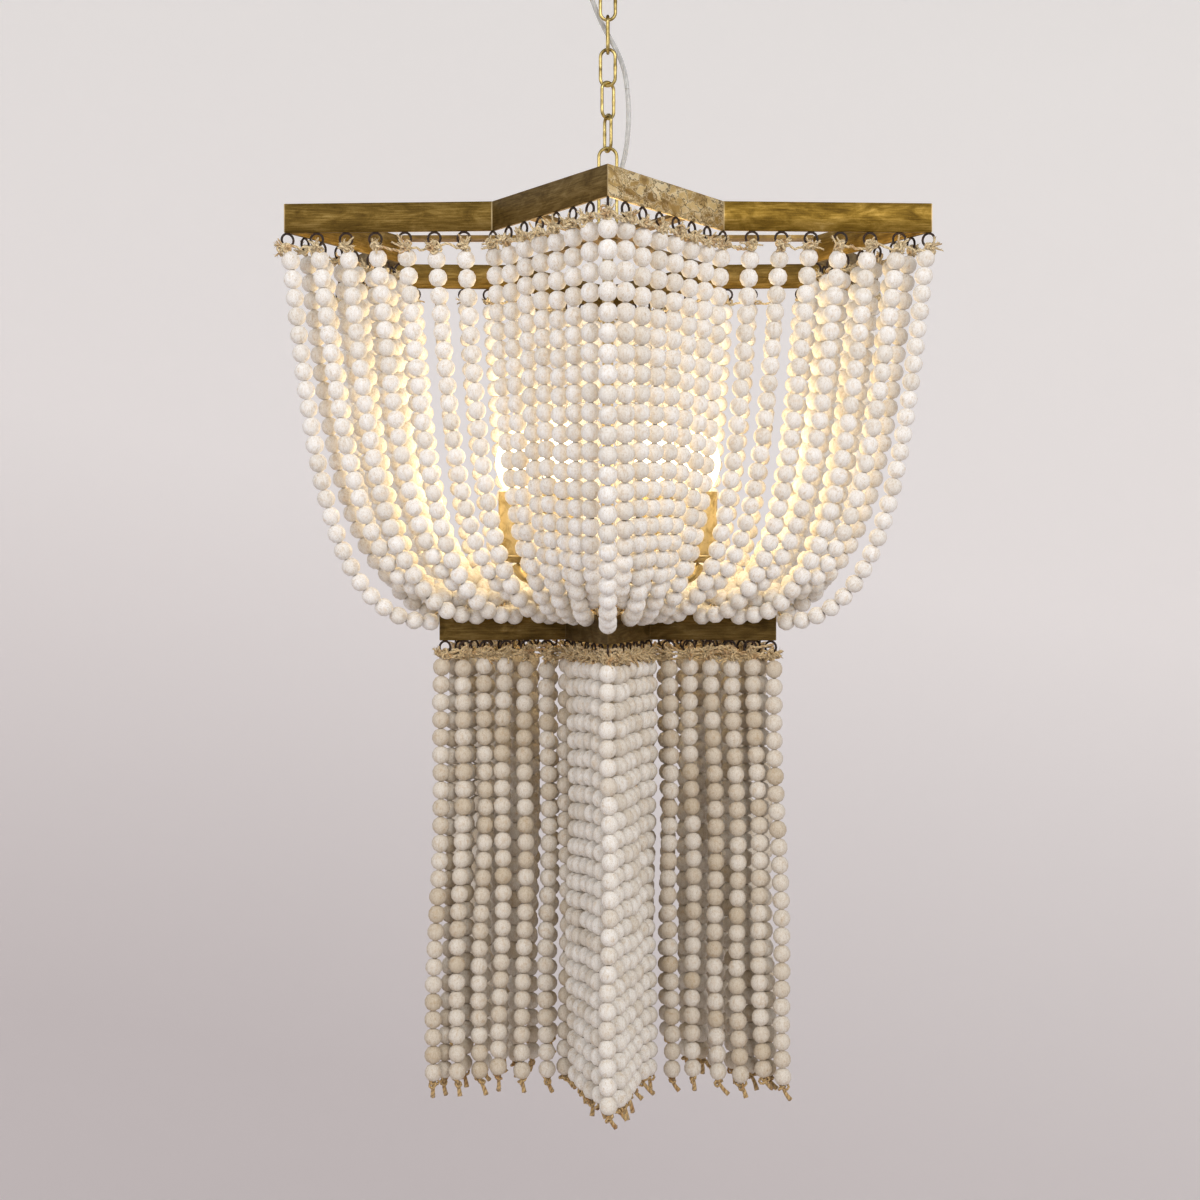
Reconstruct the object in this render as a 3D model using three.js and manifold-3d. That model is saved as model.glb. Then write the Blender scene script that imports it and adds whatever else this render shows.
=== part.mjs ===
// Beaded star chandelier: two six-pointed star frames, curtains of bead strands, six candle lights on a
// centre rod, and a short chain with its supply cable under a ceiling canopy.
// Millimetres, +Z up. The origin is on the ceiling face of the crossbar, over the middle of the fixture,
// and one point of both stars faces -Y.

import * as THREE from 'three';
import { mergeVertices } from 'three/addons/utils/BufferGeometryUtils.js';
import Module from 'manifold-3d';

const wasm = await Module();
wasm.setup();

// Clearances
const GAP = 0.3;
const OVERRUN = 1;
const MERGE_TOLERANCE = 0.0001;

// Ceiling crossbar, with a boss that the collar loop screws into
const CROSSBAR_LENGTH = 104;
const CROSSBAR_WIDTH = 22;
const CROSSBAR_THICKNESS = 3;
const CROSSBAR_BOSS_RADIUS = 9;
const CROSSBAR_BOSS_DEPTH = 9;
const CROSSBAR_ROOF = 2.5;
const CROSSBAR_SLOT_LENGTH = 10;
const CROSSBAR_SLOT_WIDTH = 5;
const CROSSBAR_SLOT_SPACING = 80;

// Canopy bowl, its clamping ring and the bushing where the cable goes through
const CANOPY_RADIUS = 64;
const CANOPY_DEPTH = 26;
const CANOPY_WALL = 1.6;
const CANOPY_FLAT_RADIUS = 30;
const COLLAR_RING_WALL = 2.7;
const COLLAR_RING_HEIGHT = 7;
const BUSHING_OFFSET = 19.5;
const BUSHING_BACKSET = 3;
const BUSHING_BORE_RADIUS = 4.2;
const BUSHING_WALL = 0.8;
const BUSHING_FLANGE_WIDTH = 1.1;
const BUSHING_FLANGE_HEIGHT = 2;
const BUSHING_NECK_HEIGHT = 3.5;

// Collar with the loop that the chain hangs on
const COLLAR_RADIUS = 10;
const COLLAR_LENGTH = 31;
const COLLAR_SPIGOT_RADIUS = 5;
const LOOP_BEND_RADIUS = 7.8;
const LOOP_WIRE_RADIUS = 2;
const LOOP_SINK = 1.5;

// Chain. Each link is turned about the vertical by its own angle, as it hangs
const LINK_LENGTH = 35.6;
const LINK_WIDTH = 16.4;
const LINK_WIRE_RADIUS = 1.4;
const LINK_TURNS = [0, 88, -10, 39, 115];

// Bail above the hub
const BAIL_WIRE_RADIUS = 1.5;
const BAIL_WIDTH = 19.3;
const BAIL_HEIGHT = 73;
const BAIL_SOCKET_DEPTH = 5;

// Top hub, centre rod and its clamping nuts
const HUB_BASE_RADIUS = 16;
const HUB_BASE_HEIGHT = 4;
const HUB_TOP_RADIUS = 12;
const HUB_LIP_HEIGHT = 2;
const HUB_HEIGHT = 12;
const HUB_ROOF = 4;
const ROD_RADIUS = 5;
const ROD_BORE_RADIUS = 3;
const ROD_NUT_RADIUS = 9.5;
const ROD_NUT_HEIGHT = 6;

// Star frames: twelve flat-bar sides each, on edge
const STAR_POINTS = 6;
const UPPER_TIP_RADIUS = 310;
const UPPER_NOTCH_RADIUS = 190.6;
const LOWER_TIP_RADIUS = 169;
const LOWER_NOTCH_RADIUS = 73.9;
const BAR_HEIGHT = 24;
const BAR_THICKNESS = 3.5;

// Flat spider bars across the two frames
const UPPER_SPOKE_WIDTH = 18;
const LOWER_SPOKE_WIDTH = 12;
const SPOKE_THICKNESS = 3.2;

// Candle lights
const LIGHT_COUNT = 6;
const LIGHT_CIRCLE_RADIUS = 85;
const ARM_HUB_RADIUS = 20;
const ARM_HUB_HEIGHT = 18;
const ARM_RADIUS = 4.2;
const ARM_SAG = 5;
const ARM_REACH_SHARES = [0.25, 0.6, 0.88, 1];
const ARM_RISE_SHARES = [0, -1, 0.1, 2.2];
const ARM_DROP = 310;
const ARM_CLEARANCE = 31;
const CUP_RADIUS = 18;
const CUP_HEIGHT = 7;
const CUP_STEM_RADIUS = 8;
const CUP_LIP_HEIGHT = 2.4;
const CUP_RISE = 1.7;
const SLEEVE_RADIUS = 15;
const SLEEVE_WALL = 1.6;
const SLEEVE_HEIGHT = 57.5;
const HOLDER_RADIUS = 12;
const HOLDER_RECESS = 1.5;
const SOCKET_DEPTH = 24;
const BULB_BASE_RADIUS = 7;
const BULB_BASE_LENGTH = 23;
const BULB_RADIUS = 17.5;
const BULB_GLASS_HEIGHT = 74;
const BULB_OUTLINE_SHARES = [[0.78, 0.16], [1, 0.36], [0.72, 0.66], [0.25, 0.9]];

// Bead strands. Each one hangs from a wire ring under a bar, tied on with twine
const BEAD_DIAMETER = 15;
const STRAND_RADIUS = 5.6;
const UPPER_PITCHES = 7;
const LOWER_PITCHES = 6;
const STRAND_END_STANDOFF = 8.5;
const STRAND_END_DROP = 2.5;
const LOWER_STRAND_LENGTH = 404;
const LOWER_STRAND_SPREAD = 1.6;
const LOWER_STRAND_FLARE = 12;
const TWINE_DROP = 11;
const TWINE_SIZE = 4;
const SAG_HIGH_REACH_SHARE = 0.16;
const SAG_HIGH_FALL_SHARE = 0.55;
const SAG_LOW_REACH_SHARE = 0.25;
const SAG_LOW_FALL_SHARE = 1.0;

// Finial under the lower spider
const FINIAL_RADIUS = 9;
const FINIAL_HEIGHT = 24;
const FINIAL_NECK_RADIUS = 7;
const FINIAL_NECK_HEIGHT = 5;
const FINIAL_TIP_RADIUS = 4.5;
const FINIAL_TIP_HEIGHT = 1.5;
const ROD_THREAD_LENGTH = 8;

// Supply cable, along the chain
const CABLE_RADIUS = 2.3;

// Facets
const ROUND_SIDES = 16;
const SMALL_ROUND_SIDES = 12;
const CANOPY_SIDES = 48;
const CANOPY_STEPS = 7;
const NUT_SIDES = 6;
const WIRE_SIDES = 6;
const LINK_RINGS = 14;
const STRAND_SIDES = 5;
const STRAND_STEPS = 6;
const CABLE_SIDES = 8;
const BAIL_STEPS = 18;
const ARM_STEPS = 6;

// Heights worked out from the ceiling downwards
const COLLAR_TOP = -CROSSBAR_BOSS_DEPTH - GAP;
const COLLAR_BOTTOM = COLLAR_TOP - COLLAR_LENGTH;
const LOOP_CENTRE = COLLAR_BOTTOM + LOOP_SINK - LOOP_BEND_RADIUS;
const LOOP_FOOT = LOOP_CENTRE - LOOP_BEND_RADIUS;
const LINK_BEND_RADIUS = LINK_WIDTH / 2 - LINK_WIRE_RADIUS;
const LINK_STRAIGHT = LINK_LENGTH - LINK_WIDTH;
const LINK_REACH = LINK_STRAIGHT + 2 * LINK_BEND_RADIUS;
const LINK_PITCH = LINK_REACH - 2 * LINK_WIRE_RADIUS - GAP;
const CHAIN_TOP = LOOP_FOOT + LOOP_WIRE_RADIUS + LINK_WIRE_RADIUS + GAP;
const CHAIN_FOOT = CHAIN_TOP - LINK_REACH - (LINK_TURNS.length - 1) * LINK_PITCH;
const BAIL_TOP = CHAIN_FOOT + LINK_WIRE_RADIUS + BAIL_WIRE_RADIUS + GAP;
const BAIL_BEND_RADIUS = BAIL_WIDTH / 2 - BAIL_WIRE_RADIUS;
const BAIL_FOOT = BAIL_TOP - BAIL_HEIGHT;
const HUB_TOP = BAIL_FOOT - GAP + BAIL_SOCKET_DEPTH;
const HUB_BOTTOM = HUB_TOP - HUB_HEIGHT;
const FRAME_TOP = HUB_BOTTOM;
const UPPER_SPOKE_TOP = FRAME_TOP - GAP;
const UPPER_SPOKE_BOTTOM = UPPER_SPOKE_TOP - SPOKE_THICKNESS;
const FRAME_BOTTOM = FRAME_TOP - BAR_HEIGHT;
const LOWER_TOP = FRAME_TOP - ARM_DROP - ARM_CLEARANCE;
const LOWER_BOTTOM = LOWER_TOP - BAR_HEIGHT;
const LOWER_SPOKE_BOTTOM = LOWER_BOTTOM;
const LOWER_SPOKE_TOP = LOWER_SPOKE_BOTTOM + SPOKE_THICKNESS;
const FINIAL_TOP = LOWER_SPOKE_BOTTOM - GAP;
const ROD_TOP = HUB_TOP - HUB_ROOF - GAP;
const ROD_FOOT = FINIAL_TOP - ROD_THREAD_LENGTH;
const ARM_LEVEL = FRAME_TOP - ARM_DROP;
const ARM_END = ARM_LEVEL + ARM_RISE_SHARES[ARM_RISE_SHARES.length - 1] * ARM_SAG;
const CUP_TOP = ARM_END + CUP_RISE + CUP_HEIGHT;
const SLEEVE_FOOT = CUP_TOP + GAP;
const SLEEVE_TOP = SLEEVE_FOOT + SLEEVE_HEIGHT;
const HOLDER_TOP = SLEEVE_TOP - HOLDER_RECESS;

// Materials
const agedGold = new THREE.MeshStandardMaterial({ color: 0x8a6a33, roughness: 0.5, metalness: 0.8 });
const brass = new THREE.MeshStandardMaterial({ color: 0xc79a3c, roughness: 0.3, metalness: 0.95 });
const warmWood = new THREE.MeshStandardMaterial({ color: 0xe8dfd0, roughness: 0.8, metalness: 0 });
const porcelain = new THREE.MeshStandardMaterial({ color: 0xece6da, roughness: 0.35, metalness: 0 });
const clearCord = new THREE.MeshStandardMaterial({ color: 0xc9cdca, roughness: 0.25, metalness: 0 });
const whitePlastic = new THREE.MeshStandardMaterial({ color: 0xe6e2d8, roughness: 0.5, metalness: 0 });
const opalGlass = new THREE.MeshStandardMaterial({ color: 0xfff0cc, roughness: 0.15, metalness: 0 });

const chandelier = new THREE.Group();

function place(name, geometry, material, group = chandelier) {
  const piece = new THREE.Mesh(geometry, material);
  piece.name = name;
  group.add(piece);
  return piece;
}

// Solids: a welded mesh goes in, joins and cuts are made, and a mesh comes out
function solidOf(geometry) {
  geometry.deleteAttribute('normal');
  geometry.deleteAttribute('uv');
  const welded = mergeVertices(geometry, MERGE_TOLERANCE);
  const corners = welded.index.array;
  const kept = [];
  for (let i = 0; i < corners.length; i += 3) {
    const [a, b, c] = [corners[i], corners[i + 1], corners[i + 2]];
    if (a !== b && b !== c && c !== a) {
      kept.push(a, b, c);
    }
  }
  return new wasm.Manifold(new wasm.Mesh({
    numProp: 3,
    vertProperties: new Float32Array(welded.attributes.position.array),
    triVerts: new Uint32Array(kept),
  }));
}

function geometryOf(solid) {
  const mesh = solid.getMesh();
  const geometry = new THREE.BufferGeometry();
  geometry.setAttribute('position', new THREE.BufferAttribute(mesh.vertProperties, 3));
  geometry.setIndex(new THREE.BufferAttribute(mesh.triVerts, 1));
  geometry.computeVertexNormals();
  return geometry;
}

function joined(geometries) {
  return geometryOf(wasm.Manifold.union(geometries.map(solidOf)));
}

function cutFrom(geometry, cutters) {
  return geometryOf(solidOf(geometry).subtract(wasm.Manifold.union(cutters.map(solidOf))));
}

// A turned piece: the outline is [radius, height] pairs, going up on the outside
function turned(outline, sides = ROUND_SIDES) {
  const points = outline.map(([radius, height]) => new THREE.Vector2(radius, height));
  return new THREE.LatheGeometry(points, sides).rotateX(Math.PI / 2);
}

function disc(radius, bottom, top, sides = ROUND_SIDES) {
  return turned([[0, bottom], [radius, bottom], [radius, top], [0, top]], sides);
}

function pipe(outer, inner, bottom, top, sides = ROUND_SIDES) {
  return turned([[inner, bottom], [outer, bottom], [outer, top], [inner, top], [inner, bottom]], sides);
}

function slab(length, width, bottom, top) {
  return new THREE.BoxGeometry(length, width, top - bottom).translate(0, 0, (bottom + top) / 2);
}

function tube(path, radius, sides, steps) {
  const section = new THREE.Shape();
  for (let side = 0; side < sides; side += 1) {
    const angle = (side / sides) * 2 * Math.PI;
    const corner = [radius * Math.cos(angle), radius * Math.sin(angle)];
    if (side === 0) {
      section.moveTo(...corner);
    } else {
      section.lineTo(...corner);
    }
  }
  return new THREE.ExtrudeGeometry(section, { steps, extrudePath: path, bevelEnabled: false });
}

// A wire ring on edge in the XZ plane. Its two halves are drawn apart to make an oval link
function ovalRing(bendRadius, straight, wireRadius) {
  const ring = new THREE.TorusGeometry(bendRadius, wireRadius, WIRE_SIDES, LINK_RINGS);
  ring.rotateZ(Math.PI / LINK_RINGS);
  const corners = ring.attributes.position;
  for (let i = 0; i < corners.count; i += 1) {
    const height = corners.getY(i);
    corners.setY(i, height + Math.sign(height) * straight / 2);
  }
  return ring.rotateX(Math.PI / 2);
}

// Points of a star in plan: even numbers are tips, odd ones are notches, and number 0 faces -Y
function starCorner(number, tipRadius, notchRadius) {
  const angle = -Math.PI / 2 + (number / STAR_POINTS) * Math.PI;
  const radius = number % 2 === 0 ? tipRadius : notchRadius;
  return new THREE.Vector2(radius * Math.cos(angle), radius * Math.sin(angle));
}

// How far the sides of a star stand from its centre
function sideDistance(tipRadius, notchRadius) {
  const tip = starCorner(0, tipRadius, notchRadius);
  const notch = starCorner(1, tipRadius, notchRadius);
  return Math.abs(tip.cross(notch)) / tip.distanceTo(notch);
}

// A star drawn in by a distance on every side is the same star, scaled
function insetStar(tipRadius, notchRadius, inset) {
  const distance = sideDistance(tipRadius, notchRadius);
  const scale = (distance - inset) / distance;
  return [tipRadius * scale, notchRadius * scale];
}

function starOutline(outline, tipRadius, notchRadius) {
  for (let number = 0; number < 2 * STAR_POINTS; number += 1) {
    const corner = starCorner(number, tipRadius, notchRadius);
    if (number === 0) {
      outline.moveTo(corner.x, corner.y);
    } else {
      outline.lineTo(corner.x, corner.y);
    }
  }
  outline.closePath();
  return outline;
}

function starFrame(tipRadius, notchRadius, bottom) {
  const outline = starOutline(new THREE.Shape(), tipRadius, notchRadius);
  const inner = insetStar(tipRadius, notchRadius, BAR_THICKNESS);
  outline.holes.push(starOutline(new THREE.Path(), ...inner));
  const bars = new THREE.ExtrudeGeometry(outline, { depth: BAR_HEIGHT, bevelEnabled: false });
  return bars.translate(0, 0, bottom);
}

// Three flat bars through the centre, from notch to notch, with a hole for the rod
function spider(tipRadius, notchRadius, width, bottom) {
  const inner = insetStar(tipRadius, notchRadius, BAR_THICKNESS);
  const reach = inner[1] - GAP;
  const bars = [];
  for (let number = 0; number < STAR_POINTS / 2; number += 1) {
    const notch = starCorner(2 * number + 1, tipRadius, notchRadius);
    const bar = slab(2 * reach, width, bottom, bottom + SPOKE_THICKNESS);
    bars.push(bar.rotateZ(Math.atan2(notch.y, notch.x)));
  }
  const hole = disc(ROD_RADIUS + GAP, bottom - OVERRUN, bottom + SPOKE_THICKNESS + OVERRUN);
  return cutFrom(joined(bars), [hole]);
}

// Ceiling crossbar
function ceilingCrossbar() {
  const bar = slab(CROSSBAR_LENGTH, CROSSBAR_WIDTH, -CROSSBAR_THICKNESS, 0);
  const boss = disc(CROSSBAR_BOSS_RADIUS, -CROSSBAR_BOSS_DEPTH, -CROSSBAR_THICKNESS / 2);
  const bore = disc(COLLAR_SPIGOT_RADIUS + GAP, -CROSSBAR_BOSS_DEPTH - OVERRUN, -CROSSBAR_ROOF);
  const slots = [-1, 1].map((side) => {
    const slot = slab(CROSSBAR_SLOT_LENGTH, CROSSBAR_SLOT_WIDTH, -CROSSBAR_THICKNESS - OVERRUN, OVERRUN);
    return slot.translate(side * CROSSBAR_SLOT_SPACING / 2, 0, 0);
  });
  return cutFrom(joined([bar, boss]), [bore, ...slots]);
}

// Canopy bowl, open towards the ceiling: a flat middle, and a quarter ellipse from there to the rim
function bowlSide(width, depth) {
  return Array.from({ length: CANOPY_STEPS + 1 }, (_, step) => {
    const angle = (step / CANOPY_STEPS) * Math.PI / 2;
    return [CANOPY_FLAT_RADIUS + width * Math.sin(angle), -depth * Math.cos(angle)];
  });
}

function canopy() {
  const hole = COLLAR_RADIUS + GAP;
  const width = CANOPY_RADIUS - CANOPY_FLAT_RADIUS;
  const bowl = turned([
    [hole, -CANOPY_DEPTH],
    ...bowlSide(width, CANOPY_DEPTH),
    ...bowlSide(width - CANOPY_WALL, CANOPY_DEPTH - CANOPY_WALL).reverse(),
    [hole, -CANOPY_DEPTH + CANOPY_WALL],
    [hole, -CANOPY_DEPTH],
  ], CANOPY_SIDES);
  const cordHole = disc(
    BUSHING_BORE_RADIUS + BUSHING_WALL + GAP,
    -CANOPY_DEPTH - OVERRUN,
    -CANOPY_DEPTH + CANOPY_WALL + OVERRUN,
    SMALL_ROUND_SIDES,
  );
  return cutFrom(bowl, [cordHole.translate(-BUSHING_OFFSET, BUSHING_BACKSET, 0)]);
}

function cordBushing() {
  const neck = BUSHING_BORE_RADIUS + BUSHING_WALL;
  const flangeTop = -CANOPY_DEPTH - GAP;
  return turned([
    [BUSHING_BORE_RADIUS, flangeTop - BUSHING_FLANGE_HEIGHT],
    [neck + BUSHING_FLANGE_WIDTH, flangeTop - BUSHING_FLANGE_HEIGHT],
    [neck + BUSHING_FLANGE_WIDTH, flangeTop],
    [neck, flangeTop],
    [neck, flangeTop + BUSHING_NECK_HEIGHT],
    [BUSHING_BORE_RADIUS, flangeTop + BUSHING_NECK_HEIGHT],
    [BUSHING_BORE_RADIUS, flangeTop - BUSHING_FLANGE_HEIGHT],
  ], SMALL_ROUND_SIDES).translate(-BUSHING_OFFSET, BUSHING_BACKSET, 0);
}

function collarLoop() {
  const body = turned([
    [0, COLLAR_BOTTOM],
    [COLLAR_RADIUS, COLLAR_BOTTOM],
    [COLLAR_RADIUS, COLLAR_TOP],
    [COLLAR_SPIGOT_RADIUS, COLLAR_TOP],
    [COLLAR_SPIGOT_RADIUS, -CROSSBAR_ROOF - GAP],
    [0, -CROSSBAR_ROOF - GAP],
  ]);
  const loop = ovalRing(LOOP_BEND_RADIUS, 0, LOOP_WIRE_RADIUS).rotateZ(Math.PI / 2);
  return joined([body, loop.translate(0, 0, LOOP_CENTRE)]);
}

place('ceiling_crossbar', ceilingCrossbar(), brass);
place('collar_loop', collarLoop(), brass);
place('canopy', canopy(), brass);
place('collar_ring', pipe(
  COLLAR_RADIUS + GAP + COLLAR_RING_WALL,
  COLLAR_RADIUS + GAP,
  -CANOPY_DEPTH - GAP - COLLAR_RING_HEIGHT,
  -CANOPY_DEPTH - GAP,
), brass);
place('cord_bushing', cordBushing(), whitePlastic);

// Chain: the links hang in each other with a small gap, each at its own turn
LINK_TURNS.forEach((turn, index) => {
  const centre = CHAIN_TOP - LINK_REACH / 2 - index * LINK_PITCH;
  const link = ovalRing(LINK_BEND_RADIUS, LINK_STRAIGHT, LINK_WIRE_RADIUS);
  const piece = place(`chain_link_${index + 1}`, link, brass);
  piece.position.z = centre;
  piece.rotation.z = THREE.MathUtils.degToRad(turn);
});

// Bail: a long wire arch whose two legs stand in the hub
function bail() {
  const arch = new THREE.CurvePath();
  const side = BAIL_BEND_RADIUS;
  const spring = BAIL_TOP - BAIL_BEND_RADIUS;
  const leftFoot = new THREE.Vector3(-side, 0, BAIL_FOOT);
  const leftSpring = new THREE.Vector3(-side, 0, spring);
  const rightSpring = new THREE.Vector3(side, 0, spring);
  const rightFoot = new THREE.Vector3(side, 0, BAIL_FOOT);
  const crown = new THREE.CatmullRomCurve3(
    Array.from({ length: WIRE_SIDES + 1 }, (_, step) => {
      const angle = Math.PI * (1 - step / WIRE_SIDES);
      return new THREE.Vector3(side * Math.cos(angle), 0, spring + side * Math.sin(angle));
    }),
  );
  arch.add(new THREE.LineCurve3(leftFoot, leftSpring));
  arch.add(crown);
  arch.add(new THREE.LineCurve3(rightSpring, rightFoot));
  return tube(arch, BAIL_WIRE_RADIUS, WIRE_SIDES, BAIL_STEPS);
}

function topHub() {
  const body = turned([
    [0, HUB_BOTTOM],
    [HUB_BASE_RADIUS, HUB_BOTTOM],
    [HUB_BASE_RADIUS, HUB_BOTTOM + HUB_BASE_HEIGHT],
    [HUB_TOP_RADIUS, HUB_TOP - HUB_LIP_HEIGHT],
    [HUB_TOP_RADIUS, HUB_TOP],
    [0, HUB_TOP],
  ]);
  const rodBore = disc(ROD_RADIUS + GAP, HUB_BOTTOM - OVERRUN, HUB_TOP - HUB_ROOF);
  const cableBore = disc(CABLE_RADIUS + GAP, HUB_BOTTOM, HUB_TOP + OVERRUN, SMALL_ROUND_SIDES);
  const sockets = [-1, 1].map((side) => {
    const socket = disc(
      BAIL_WIRE_RADIUS + GAP, BAIL_FOOT - GAP, HUB_TOP + OVERRUN, SMALL_ROUND_SIDES,
    );
    return socket.translate(side * BAIL_BEND_RADIUS, 0, 0);
  });
  return cutFrom(body, [rodBore, cableBore, ...sockets]);
}

place('bail', bail(), brass);
place('top_hub', topHub(), brass);

// Frames and what holds them on the rod
place('upper_star_frame', starFrame(UPPER_TIP_RADIUS, UPPER_NOTCH_RADIUS, FRAME_BOTTOM), agedGold);
place('upper_spider', spider(
  UPPER_TIP_RADIUS, UPPER_NOTCH_RADIUS, UPPER_SPOKE_WIDTH, UPPER_SPOKE_BOTTOM,
), agedGold);
place('lower_star_frame', starFrame(LOWER_TIP_RADIUS, LOWER_NOTCH_RADIUS, LOWER_BOTTOM), agedGold);
place('lower_spider', spider(
  LOWER_TIP_RADIUS, LOWER_NOTCH_RADIUS, LOWER_SPOKE_WIDTH, LOWER_SPOKE_BOTTOM,
), agedGold);
place('centre_rod', pipe(ROD_RADIUS, ROD_BORE_RADIUS, ROD_FOOT, ROD_TOP, SMALL_ROUND_SIDES), brass);

function rodNut(bottom) {
  const top = bottom + ROD_NUT_HEIGHT;
  const bore = disc(ROD_RADIUS + GAP, bottom - OVERRUN, top + OVERRUN, SMALL_ROUND_SIDES);
  return cutFrom(disc(ROD_NUT_RADIUS, bottom, top, NUT_SIDES), [bore]);
}

place('upper_rod_nut', rodNut(UPPER_SPOKE_BOTTOM - GAP - ROD_NUT_HEIGHT), brass);
place('lower_rod_nut', rodNut(LOWER_SPOKE_TOP + GAP), brass);

function finial() {
  const bottom = FINIAL_TOP - FINIAL_HEIGHT;
  const body = turned([
    [0, bottom],
    [FINIAL_TIP_RADIUS, bottom + FINIAL_TIP_HEIGHT],
    [FINIAL_RADIUS, bottom + FINIAL_RADIUS],
    [FINIAL_NECK_RADIUS, FINIAL_TOP - FINIAL_NECK_HEIGHT],
    [FINIAL_NECK_RADIUS, FINIAL_TOP],
    [0, FINIAL_TOP],
  ], SMALL_ROUND_SIDES);
  const bore = disc(ROD_RADIUS + GAP, ROD_FOOT - GAP, FINIAL_TOP + OVERRUN, SMALL_ROUND_SIDES);
  return cutFrom(body, [bore]);
}

place('finial', finial(), brass);

// Candle lights: a drum on the rod, and six arms that each carry a cup, a holder, a sleeve and a bulb
place('arm_hub', pipe(
  ARM_HUB_RADIUS,
  ROD_RADIUS + GAP,
  ARM_LEVEL - ARM_HUB_HEIGHT / 2,
  ARM_LEVEL + ARM_HUB_HEIGHT / 2,
), brass);

function candleArm() {
  const start = ARM_HUB_RADIUS + GAP;
  const reach = LIGHT_CIRCLE_RADIUS - start;
  const points = [new THREE.Vector3(start, 0, ARM_LEVEL)];
  ARM_REACH_SHARES.forEach((share, index) => {
    const height = ARM_LEVEL + ARM_RISE_SHARES[index] * ARM_SAG;
    points.push(new THREE.Vector3(start + share * reach, 0, height));
  });
  const arm = tube(new THREE.CatmullRomCurve3(points), ARM_RADIUS, WIRE_SIDES, ARM_STEPS);
  const bottom = CUP_TOP - CUP_HEIGHT;
  const cup = turned([
    [0, bottom],
    [CUP_STEM_RADIUS, bottom],
    [CUP_RADIUS, CUP_TOP - CUP_LIP_HEIGHT],
    [CUP_RADIUS, CUP_TOP],
    [0, CUP_TOP],
  ], SMALL_ROUND_SIDES);
  return joined([arm, cup.translate(LIGHT_CIRCLE_RADIUS, 0, 0)]);
}

function lampHolder() {
  const socketFloor = HOLDER_TOP - SOCKET_DEPTH;
  return turned([
    [0, SLEEVE_FOOT],
    [HOLDER_RADIUS, SLEEVE_FOOT],
    [HOLDER_RADIUS, HOLDER_TOP],
    [BULB_BASE_RADIUS + GAP, HOLDER_TOP],
    [BULB_BASE_RADIUS + GAP, socketFloor],
    [0, socketFloor],
  ], SMALL_ROUND_SIDES);
}

function candleBulb() {
  const neck = HOLDER_TOP + GAP;
  const base = neck - BULB_BASE_LENGTH;
  return turned([
    [0, base],
    [BULB_BASE_RADIUS, base],
    [BULB_BASE_RADIUS, neck],
    ...BULB_OUTLINE_SHARES.map(([width, height]) => [
      width * BULB_RADIUS,
      neck + height * BULB_GLASS_HEIGHT,
    ]),
    [0, neck + BULB_GLASS_HEIGHT],
  ], SMALL_ROUND_SIDES);
}

for (let light = 0; light < LIGHT_COUNT; light += 1) {
  const spot = new THREE.Group();
  const angle = (light / LIGHT_COUNT) * 2 * Math.PI - Math.PI / 2 + Math.PI / LIGHT_COUNT;
  spot.rotation.z = angle;
  chandelier.add(spot);
  const number = light + 1;
  place(`candle_arm_${number}`, candleArm(), brass, spot);
  const holder = place(`lamp_holder_${number}`, lampHolder(), porcelain, spot);
  const sleeve = place(`candle_sleeve_${number}`, pipe(
    SLEEVE_RADIUS, SLEEVE_RADIUS - SLEEVE_WALL, SLEEVE_FOOT, SLEEVE_TOP,
  ), brass, spot);
  const bulb = place(`candle_bulb_${number}`, candleBulb(), opalGlass, spot);
  [holder, sleeve, bulb].forEach((piece) => {
    piece.position.x = LIGHT_CIRCLE_RADIUS;
  });
}

// Bead strands. Those of one star point share one solid: their twine runs from ring to ring
function pointOnSide(tipNumber, side, share, tipRadius, notchRadius) {
  const tip = starCorner(tipNumber, tipRadius, notchRadius);
  const notch = starCorner(tipNumber + side + 2 * STAR_POINTS, tipRadius, notchRadius);
  return tip.lerp(notch, share);
}

// The way out of the star from a spot on one of its sides: square to the side, or along the radius
// where two sides meet
function outward(tipNumber, side, share, tipRadius, notchRadius) {
  const tip = starCorner(tipNumber, tipRadius, notchRadius);
  if (share === 0) {
    return tip.normalize();
  }
  const notch = starCorner(tipNumber + side + 2 * STAR_POINTS, tipRadius, notchRadius);
  if (share === 1) {
    return notch.normalize();
  }
  const along = notch.sub(tip).normalize();
  return new THREE.Vector2(-along.y, along.x).multiplyScalar(-side);
}

function twine(tipNumber, side, lastShare, star, top) {
  const tip = starCorner(tipNumber, ...star);
  const end = pointOnSide(tipNumber, side, lastShare, ...star);
  const middle = tip.clone().add(end).divideScalar(2);
  const along = end.clone().sub(tip);
  const strip = slab(along.length() + TWINE_SIZE, TWINE_SIZE, top - TWINE_SIZE, top);
  return strip.rotateZ(Math.atan2(along.y, along.x)).translate(middle.x, middle.y, 0);
}

// Spots of one star point: the tip, the spots on both its sides, and the notch on one side
function strandSpots(pitches) {
  const spots = [[1, 0]];
  for (let spot = 1; spot < pitches; spot += 1) {
    spots.push([1, spot], [-1, spot]);
  }
  spots.push([1, pitches]);
  return spots;
}

const upperRings = insetStar(UPPER_TIP_RADIUS, UPPER_NOTCH_RADIUS, BAR_THICKNESS / 2);
const lowerRings = insetStar(LOWER_TIP_RADIUS, LOWER_NOTCH_RADIUS, BAR_THICKNESS / 2);
const lowerStar = [LOWER_TIP_RADIUS, LOWER_NOTCH_RADIUS];

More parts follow.
